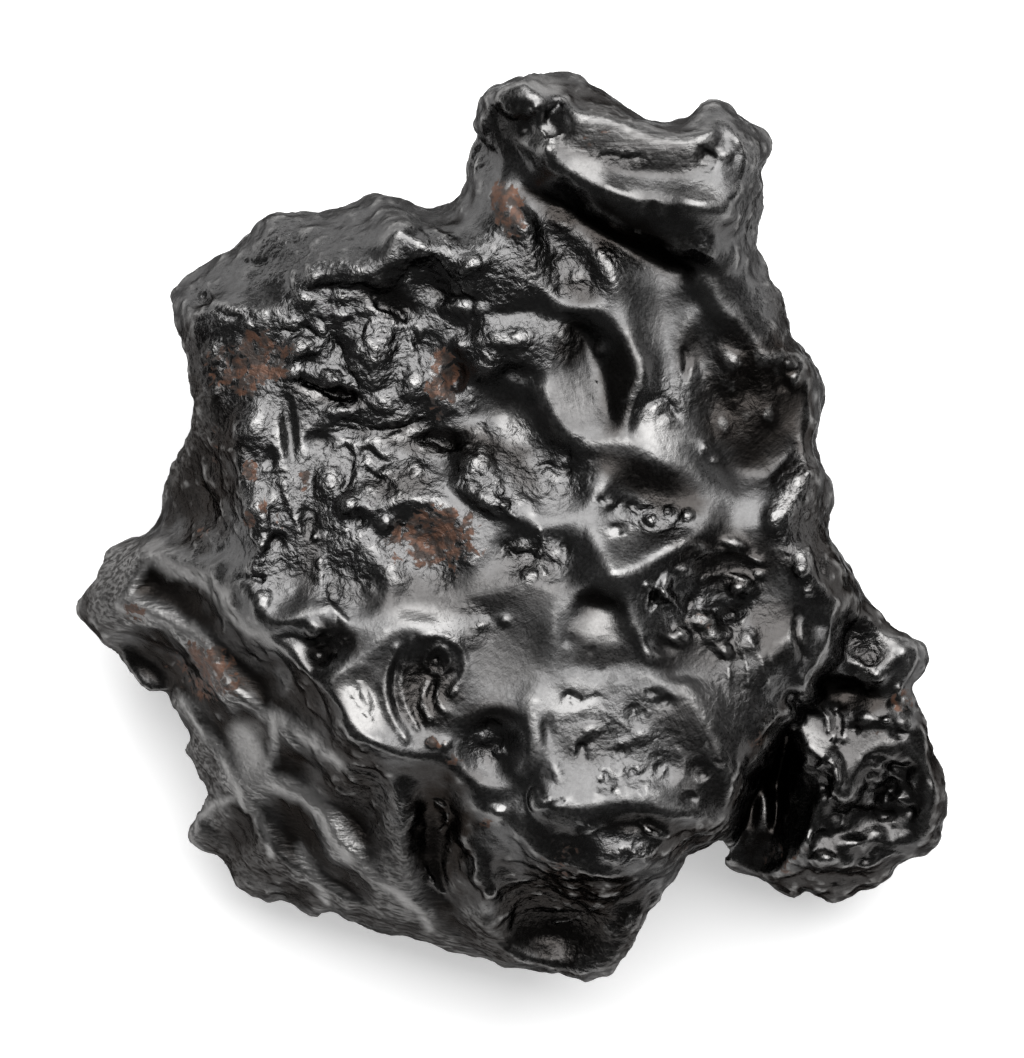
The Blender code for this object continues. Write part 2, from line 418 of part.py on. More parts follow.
def resampled_curve(points, spacing):
    """Return points of a smooth curve through the given ones, about the spacing apart."""
    given = np.array(points, float)
    if np.allclose(given[0][:2], given[-1][:2]):
        ends = np.vstack([given[-2], given, given[1]])
    else:
        ends = np.vstack([2 * given[0] - given[1], given, 2 * given[-1] - given[-2]])
    found = []
    for before, start, end, after in zip(ends, ends[1:], ends[2:], ends[3:]):
        count = max(1, int(math.dist(start[:2], end[:2]) / spacing))
        for index in range(count):
            t = index / count
            found.append(0.5 * (2 * start + (end - before) * t
                                + (2 * before - 5 * start + 4 * end - after) * t ** 2
                                + (3 * start - before - 3 * end + after) * t ** 3))
    found.append(given[-1])
    return np.array(found)


def distance_to_curve(curve, step, shape, reach):
    """Return, for each node of a grid, the distance to the curve and the height of its nearest point."""
    distance = np.full(shape, np.inf)
    height = np.zeros(shape)
    for start, end in zip(curve[:-1], curve[1:]):
        low = np.maximum(0, np.floor((np.minimum(start, end)[:2] - reach) / step)).astype(int)
        high = np.ceil((np.maximum(start, end)[:2] + reach) / step).astype(int) + 1
        rows = slice(low[1], min(shape[0], high[1]))
        columns = slice(low[0], min(shape[1], high[0]))
        y, x = np.mgrid[rows, columns] * float(step)
        run = end - start
        length_squared = run[0] ** 2 + run[1] ** 2 + 1e-9
        t = np.clip(((x - start[0]) * run[0] + (y - start[1]) * run[1]) / length_squared, 0, 1)
        away = np.hypot(x - start[0] - t * run[0], y - start[1] - t * run[1])
        nearer = (away < distance[rows, columns]) & (away <= reach)
        distance[rows, columns][nearer] = away[nearer]
        height[rows, columns][nearer] = (start[2] + t * run[2])[nearer]
    return distance, height


def inside_curve(curve, step, shape):
    """Return which nodes of a grid lie inside the closed curve."""
    y, x = np.mgrid[0:shape[0], 0:shape[1]] * float(step) + 1e-3
    inside = np.zeros(shape, bool)
    for start, end in zip(curve[:-1], curve[1:]):
        if start[1] != end[1]:
            crossing = (end[0] - start[0]) * (y - start[1]) / (end[1] - start[1]) + start[0]
            inside ^= ((start[1] > y) != (end[1] > y)) & (x < crossing)
    return inside


def sampled(grid, step, x, y):
    """Return values between the nodes of a grid, at plan coordinates x and y."""
    across = np.clip(np.asarray(x, float) / step, 0, grid.shape[1] - 1.001)
    down = np.clip(np.asarray(y, float) / step, 0, grid.shape[0] - 1.001)
    column, row = across.astype(int), down.astype(int)
    across, down = across - column, down - row
    upper = grid[row, column] * (1 - across) + grid[row, column + 1] * across
    lower = grid[row + 1, column] * (1 - across) + grid[row + 1, column + 1] * across
    return upper * (1 - down) + lower * down


def softened(grid, sigma):
    """Return the grid blurred by a bell curve of the given width, in nodes."""
    reach = math.ceil(3 * sigma)
    weights = np.exp(-0.5 * (np.arange(-reach, reach + 1) / sigma) ** 2)
    weights /= weights.sum()
    for _ in range(2):
        padded = np.pad(grid, ((reach, reach), (0, 0)), mode="edge")
        grid = sum(weight * padded[index:index + grid.shape[0]] for index, weight in enumerate(weights)).T
    return grid


def relaxed(height, pinned, load, sweeps):
    """Settle a membrane: free nodes move until their bend matches the load."""
    row, column = np.indices(height.shape)
    free = ~pinned
    free[[0, -1], :] = False
    free[:, [0, -1]] = False
    colours = [(free & ((row + column) % 2 == parity))[1:-1, 1:-1] for parity in (0, 1)]
    for _ in range(sweeps):
        for colour in colours:
            middle = height[1:-1, 1:-1]
            level = 0.25 * (height[:-2, 1:-1] + height[2:, 1:-1] + height[1:-1, :-2] + height[1:-1, 2:]
                            - load[1:-1, 1:-1])
            middle[colour] += OVER_RELAXATION * (level - middle)[colour]
    return height


def hollow_load(hollows, step, shape):
    """Return the load that makes the membrane sag by each hollow's depth inside its oval."""
    y, x = np.mgrid[0:shape[0], 0:shape[1]] * float(step)
    load = np.zeros(shape)
    for centre_x, centre_y, radius_x, radius_y, turn, depth in hollows:
        c, s = math.cos(math.radians(turn)), math.sin(math.radians(turn))
        u = ((x - centre_x) * c + (y - centre_y) * s) / radius_x
        v = ((y - centre_y) * c - (x - centre_x) * s) / radius_y
        cover = np.clip((1.15 - np.hypot(u, v)) / 0.3, 0, 1)
        load += cover * 2 * depth * (1 / radius_x ** 2 + 1 / radius_y ** 2)
    return load * step ** 2


def membrane(outline, crests, hollows, finest):
    """Return the heights of a skin pinned to the outline and the crests, worked from coarse to fine."""
    height = None
    for step in (finest * 8, finest * 4, finest * 2, finest):
        shape = (int(SHEET_HEIGHT / step) + 2, int(SHEET_WIDTH / step) + 2)
        pinned = ~inside_curve(outline, step, shape)
        _, value = distance_to_curve(outline, step, shape, SHEET_WIDTH if height is None else 4 * step)
        nearness = np.full(shape, np.inf)
        for width, points in crests:
            half = max(width / 2, 0.71 * step)
            away, level = distance_to_curve(resampled_curve(points, CURVE_SPACING), step, shape, half)
            away /= half
            hit = (away <= 1) & (away < nearness) & ~(pinned & np.isinf(nearness))
            value[hit] = level[hit] - CREST_CROWN * PLAN_UNIT * width * away[hit] ** 2
            nearness[hit] = away[hit]
            pinned |= hit
        if height is None:
            height = np.full(shape, value[pinned].mean())
        else:
            y, x = np.mgrid[0:shape[0], 0:shape[1]] * step
            height = sampled(height, step * 2, x, y)
        height[pinned] = value[pinned]
        height = relaxed(height, pinned, hollow_load(hollows, step, shape), RELAX_SWEEPS)
    return height


def eased(value, start, end):
    """Return 0 before start, 1 after end, and a smooth rise between them."""
    t = np.clip((value - start) / (end - start), 0, 1)
    return t * t * (3 - 2 * t)


def stone_skins(outline):
    """Return the heights of the upper and the lower skin on the blank's grid."""
    step = BLANK_STEP / PLAN_UNIT
    sharp = membrane(outline, CRESTS.values(), HOLLOWS.values(), step)
    upper = softened(sharp, SKIN_SOFTENING / BLANK_STEP)
    edge = membrane(outline, (), (), step)
    distance, _ = distance_to_curve(outline, step, upper.shape, SHEET_WIDTH)
    distance *= PLAN_UNIT
    upper += EDGE_SWELL * np.sqrt(1 - (1 - np.clip(distance / EDGE_REACH, 0, 1)) ** 2)
    fall = np.sqrt(1 - (1 - np.clip(distance / BELLY_REACH, 0, 1)) ** 2)
    lower = edge * (1 - fall) + BELLY_DOME * eased(distance, BELLY_START, BELLY_REACH)
    y, x = np.mgrid[0:lower.shape[0], 0:lower.shape[1]] * step
    lower *= foot_clearance(x, y)
    return upper, lower


def foot_clearance(x, y):
    """Return 0 on every foot, rising to 1 where its run-out ends."""
    nearest = np.min([np.hypot(x - foot_x, y - foot_y) for foot_x, foot_y in FEET], axis=0)
    return eased(nearest * PLAN_UNIT, FOOT_RADIUS, FOOT_RADIUS + FOOT_BLEND)


def plan_to_space(x, y, height):
    """Return points in metres for plan coordinates and heights in mm."""
    right, up = x - SHEET_WIDTH / 2, SHEET_HEIGHT / 2 - y
    return np.stack([right * PLAN_UNIT, up * PLAN_UNIT, height], axis=-1) * MM


def sewn_blank(upper, lower, outline):
    """Cut the two skins from a grid and sew them together along the outline."""
    step = BLANK_STEP / PLAN_UNIT
    rows, columns = int(SHEET_HEIGHT / step), int(SHEET_WIDTH / step)
    blank = bmesh.new()
    bmesh.ops.create_grid(blank, x_segments=columns, y_segments=rows, size=0.5)
    for vert in blank.verts:
        vert.co = Vector(((vert.co.x + 0.5) * columns * step, (0.5 - vert.co.y) * rows * step, 0))
    centres = np.array([face.calc_center_median()[:2] for face in blank.faces])
    cover = inside_curve(outline, step, upper.shape).astype(float)
    inside = sampled(cover, step, centres[:, 0], centres[:, 1])
    spare = [face for face, share in zip(blank.faces, inside) if share < 0.5]
    bmesh.ops.delete(blank, geom=spare, context="FACES")
    rim = [vert for vert in blank.verts if vert.is_boundary]
    for vert in rim:
        vert.co = nearest_on_curve(outline, vert.co)
    copy = bmesh.ops.duplicate(blank, geom=blank.faces[:] + blank.verts[:] + blank.edges[:])["geom"]
    under = [item for item in copy if isinstance(item, bmesh.types.BMVert)]
    bmesh.ops.reverse_faces(blank, faces=[item for item in copy if isinstance(item, bmesh.types.BMFace)])
    lower_verts = set(under)
    for skin, verts in ((upper, [vert for vert in blank.verts if vert not in lower_verts]), (lower, under)):
        place = np.array([vert.co for vert in verts])
        height = sampled(skin, step, place[:, 0], place[:, 1])
        on_rim = np.array([vert.is_boundary for vert in verts])
        height[on_rim] = place[on_rim, 2]
        for vert, point in zip(verts, plan_to_space(place[:, 0], place[:, 1], height)):
            vert.co = point
    bmesh.ops.remove_doubles(blank, verts=[vert for vert in blank.verts if vert.is_boundary], dist=1e-6)
    mesh = bpy.data.meshes.new("blank")
    blank.to_mesh(mesh)
    blank.free()
    return mesh


def nearest_on_curve(outline, point):
    """Return the nearest point of the outline, with the outline's height there as its third value."""
    start, end = outline[:-1], outline[1:]
    run = end - start
    along = (point.x - start[:, 0]) * run[:, 0] + (point.y - start[:, 1]) * run[:, 1]
    t = np.clip(along / (run[:, 0] ** 2 + run[:, 1] ** 2), 0, 1)
    found = start + t[:, None] * run
    return Vector(found[np.argmin(np.hypot(found[:, 0] - point.x, found[:, 1] - point.y))])


def evaluated_copy(mesh, kind, **settings):
    """Return a mesh as one modifier leaves it."""
    carrier = bpy.data.objects.new("carrier", mesh)
    bpy.context.scene.collection.objects.link(carrier)
    modifier = carrier.modifiers.new(kind.title(), kind)
    for name, value in settings.items():
        setattr(modifier, name, value)
    result = bpy.data.meshes.new_from_object(carrier.evaluated_get(bpy.context.evaluated_depsgraph_get()))
    bpy.data.objects.remove(carrier)
    return result


def vertex_values(mesh, attribute):
    """Return a three-part value of every vertex as an array."""
    values = np.empty(len(mesh.vertices) * 3)
    mesh.vertices.foreach_get(attribute, values)
    return values.reshape(-1, 3)


def scooped(mesh):
    """Press thumbprints into every part of the stone that faces sideways or down."""
    places = vertex_values(mesh, "co")
    normals = vertex_values(mesh, "normal")
    plan_x = places[:, 0] / MM / PLAN_UNIT + SHEET_WIDTH / 2
    plan_y = SHEET_HEIGHT / 2 - places[:, 1] / MM / PLAN_UNIT
    share = eased(-normals[:, 2], 0.0, 0.35) * foot_clearance(plan_x, plan_y)
    for index in np.nonzero(share > 0)[0]:
        near, second = noise.voronoi(Vector(places[index] / (SCOOP_SPACING * MM)))[0][:2]
        bowl = 1 - math.exp(-SCOOP_STEEPNESS * (second - near))
        places[index] -= normals[index] * share[index] * bowl * SCOOP_DEPTH * MM
    mesh.vertices.foreach_set("co", places.ravel())
    mesh.update()


def settled(mesh):
    """Stand the stone on its feet and centre it over the origin."""
    places = vertex_values(mesh, "co")
    places[:, 2] -= places[:, 2].min()
    places[places[:, 2] < FOOT_FLATTENING * MM, 2] = 0
    places[:, :2] -= (places[:, :2].min(axis=0) + places[:, :2].max(axis=0)) / 2
    mesh.vertices.foreach_set("co", places.ravel())
    mesh.update()


def crust_material():
    """Return the glossy blue-black crust of melted iron oxide."""
    material = bpy.data.materials.new("iron_crust")
    material.use_nodes = True
    shader = material.node_tree.nodes["Principled BSDF"]
    shader.inputs["Base Color"].default_value = (0.035, 0.034, 0.034, 1)
    shader.inputs["Metallic"].default_value = 0.75
    shader.inputs["Roughness"].default_value = 0.32
    return material


def build_meteorite():
    """Build the stone: skins, blank, scoops, and the final faceted solid."""
    outline = resampled_curve(OUTLINE + OUTLINE[:1], CURVE_SPACING)
    upper, lower = stone_skins(outline)
    blank = sewn_blank(upper, lower, outline)
    solid = evaluated_copy(blank, "REMESH", mode="VOXEL", voxel_size=VOXEL * MM, use_smooth_shade=True)
    scooped(solid)
    solid.calc_loop_triangles()
    kept = TRIANGLES / len(solid.loop_triangles)
    solid = evaluated_copy(solid, "DECIMATE", ratio=kept, use_collapse_triangulate=True)
    settled(solid)
    solid.name = "meteorite"
    solid.materials.clear()
    solid.materials.append(crust_material())
    solid.shade_smooth()
    stone = bpy.data.objects.new("meteorite", solid)
    bpy.context.scene.collection.objects.link(stone)
    return stone


def main():
    """Clear the scene and build the stone."""
    for item in list(bpy.data.objects):
        bpy.data.objects.remove(item)
    build_meteorite()


main()
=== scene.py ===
"""The looks of an iron meteorite: one lump of black crust with thumbprint hollows and ridges, with painted
shade and painted highlights in its colour.

The stone is drawn on a plan sheet seen from above. A smooth skin is pinned to its crests and sags
into its hollows, small welts, cracks, lumps and pits are pressed into that skin, and an underside is
sewn on along the outline. Patches on the same sheet say where the crust is scaly, satin, fibrous or
rusty, where painted highlights lighten its colour (partly rubbed metal), and where painted shade
darkens it.
"""

import logging
import math
from dataclasses import dataclass
from enum import Enum
from typing import Sequence

import bpy
import numpy as np
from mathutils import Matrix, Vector, noise


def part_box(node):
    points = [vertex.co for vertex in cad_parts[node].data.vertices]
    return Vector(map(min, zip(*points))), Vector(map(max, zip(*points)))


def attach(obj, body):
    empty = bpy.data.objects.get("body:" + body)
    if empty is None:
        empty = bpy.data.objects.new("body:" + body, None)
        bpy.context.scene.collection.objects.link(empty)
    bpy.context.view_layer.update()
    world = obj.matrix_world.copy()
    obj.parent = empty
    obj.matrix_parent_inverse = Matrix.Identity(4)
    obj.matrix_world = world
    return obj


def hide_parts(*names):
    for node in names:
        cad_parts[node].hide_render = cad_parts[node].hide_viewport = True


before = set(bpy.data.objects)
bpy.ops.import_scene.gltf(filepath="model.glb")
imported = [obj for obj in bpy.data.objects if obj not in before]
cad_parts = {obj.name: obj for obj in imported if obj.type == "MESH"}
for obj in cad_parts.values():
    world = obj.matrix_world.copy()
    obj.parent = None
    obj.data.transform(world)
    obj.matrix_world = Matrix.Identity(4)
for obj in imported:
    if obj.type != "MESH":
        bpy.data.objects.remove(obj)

LOG = logging.getLogger("meteorite")
NODE = "meteorite"
BODY = "root"
SLOT = "iron_crust"
MM = 0.001
TINY = 1e-9

Array = np.ndarray
Point = tuple[float, ...]


@dataclass(frozen=True)
class Crest:
    """A crest, step or trough that the skin is pinned to: its width, and its points as x, y, height."""

    name: str
    width: float
    points: tuple[Point, ...]


@dataclass(frozen=True)
class Hollow:
    """An oval hollow: its middle, two radii, its depth in mm, and the turn of the oval in degrees."""

    name: str
    x: float
    y: float
    radius_x: float
    radius_y: float
    depth: float
    turn: float = 0.0


class Mark(Enum):
    """The kinds of small relief."""

    WELT = "a raised bead"
    CRACK = "a sharp slit"
    DOME = "a round lump"
    DENT = "a round dip"
    RIMMED = "a pit with a raised rim"


class Crust(Enum):
    """The kinds of surface that the crust has; two of them put light into the colour: painted highlights
    mixed with rubbed metal, and painted shade.
    """

    SCALY = "scaly"
    SATIN = "satin"
    FIBROUS = "fibrous"
    RUST = "rust"
    WEAR_AND_HIGHLIGHT = "wear_and_highlight"
    PAINTED_SHADE = "painted_shade"


@dataclass(frozen=True)
class Stroke:
    """A long mark: its kind, half width in plan units, height or depth in mm, and its points."""

    kind: Mark
    reach: float
    height: float
    points: tuple[Point, ...]


@dataclass(frozen=True)
class Spot:
    """A round mark: its kind, middle, two radii, height or depth in mm, and turn in degrees."""

    kind: Mark
    x: float
    y: float
    radius_x: float
    radius_y: float
    height: float
    turn: float = 0.0


@dataclass(frozen=True)
class Patch:
    """An oval with one kind of crust: its middle, two radii, strength, and turn in degrees."""

    kind: Crust
    x: float
    y: float
    radius_x: float
    radius_y: float
    share: float
    turn: float = 0.0


@dataclass(frozen=True)
class Streak:
    """A band of one kind of crust: its half width in plan units, strength and points."""

    kind: Crust
    reach: float
    share: float
    points: tuple[Point, ...]


# The outline, clockwise from the left: plan x, plan y, and the height at which the two skins meet.
OUTLINE = (
    (171, 300, 33.9), (178, 285, 33), (200, 267, 34), (226, 252, 35), (248, 231, 36), (262, 219, 37),
    (277, 212, 38), (305, 210, 38), (347, 206, 39), (362, 197, 39), (382, 193, 40), (403, 197, 40),
    (412, 203, 39), (426, 210, 38), (440, 207, 38), (460, 195, 42.5), (466, 178, 43.5), (468, 160, 44.5),
    (474, 141, 45.5), (477, 115, 47.5), (482, 98, 48.5), (492, 86, 49.5), (520, 78, 50.5), (542, 74.5, 49),
    (556, 73, 47.6), (578, 78, 47.5), (592, 86, 47.5), (610, 96, 48), (627, 108, 50.1), (640, 118, 50.5),
    (655, 124, 50.5), (678, 123, 50.5), (694, 114, 50.5), (706, 103, 50.5), (716, 100, 50.5),
    (730, 107, 49.5), (746, 119, 48.5), (763, 130, 47.5), (772, 142, 46.5), (768, 155, 45.5),
    (761, 174, 45.5), (763, 186, 45.5), (761, 205, 44.5), (758, 228, 43.5), (760, 255, 42.5),
    (766, 273, 42.5), (778, 290, 42.5), (784, 313, 41.5), (791, 331, 40.5), (803, 348, 39.5),
    (815, 362, 38.5), (823, 388, 38.5), (820, 430, 38.5), (817, 440, 38.5), (821, 462, 35.5),
    (831, 480, 35.5), (834, 500, 35.5), (831, 526, 35.5), (839, 550, 34.5), (853, 572, 30),
    (865, 590, 30.4), (878, 612, 32.5), (893, 631, 31.7), (905, 635, 31.9), (920, 640, 32), (928, 652, 32),
    (925, 672, 31), (914, 690, 30), (918, 700, 30), (925, 720, 28.9), (933, 740, 27.7), (942, 758, 26.4),
    (945, 777, 26.1), (950, 800, 24.6), (946, 825, 22.1), (942, 846, 20.7), (930, 856, 19.5),
    (912, 865, 18.4), (900, 870, 17.4), (896, 880, 17.3), (880, 888, 16.2), (860, 895, 16.2),
    (838, 907, 15.2), (825, 901, 15.2), (808, 894, 15.2), (799, 901, 15.2), (785, 896, 15.2),
    (766, 885, 15.2), (755, 882, 15.3), (742, 877, 16.3), (730, 872, 16.3), (726, 866, 17.4),
    (731, 850, 19.6), (722, 843, 24.8), (705, 849, 33), (685, 859, 34), (676, 876, 34), (660, 897, 34),
    (648, 910, 33), (642, 930, 32), (637, 943, 31), (628, 954, 29), (618, 964, 28), (609, 977, 27),
    (600, 979, 26), (589, 984, 25), (578, 983, 25), (560, 978, 24), (535, 975, 21.9), (505, 972, 22.1),
    (488, 966, 19.3), (462, 957, 19), (433, 948, 18), (409, 939, 18), (377, 936, 17), (351, 927, 17),
    (333, 915, 16), (325, 912, 15), (312, 920, 14), (301, 915, 14), (281, 903, 14), (266, 908, 14),
    (252, 900, 14), (235, 890, 14.1), (226, 876, 14.2), (216, 862, 14.4), (200, 852, 14.6),
    (190, 842, 14.8), (188, 832, 15.1), (193, 823, 16.3), (202, 812, 17.6), (207, 797, 19.1),
    (201, 780, 19.6), (188, 765, 20), (181, 752, 20.3), (187, 738, 21.6), (180, 726, 21.8),
    (170, 710, 21.9), (165, 697, 22), (148, 695, 22), (135, 686, 22), (127, 672, 22), (112, 655, 22),
    (95, 636, 22), (80, 620, 22), (74, 612, 22), (79, 598, 23), (83, 588, 24), (92, 582, 25),
    (98, 568, 24.6), (103, 553, 22.8), (111, 541, 20.9), (130, 534, 20.5), (146, 529, 21.6), (157, 510, 23),
    (162, 490, 24), (166, 473, 26.5), (178, 457, 30.3), (186, 440, 35.1), (192, 420, 40), (194, 400, 40),
    (191, 372, 41), (188, 352, 41), (179, 335, 39.1), (174, 316, 36.8),
)

# Spots where the stone touches the ground: plan x, plan y.
FEET = ((330, 470), (600, 260), (700, 560), (480, 760))

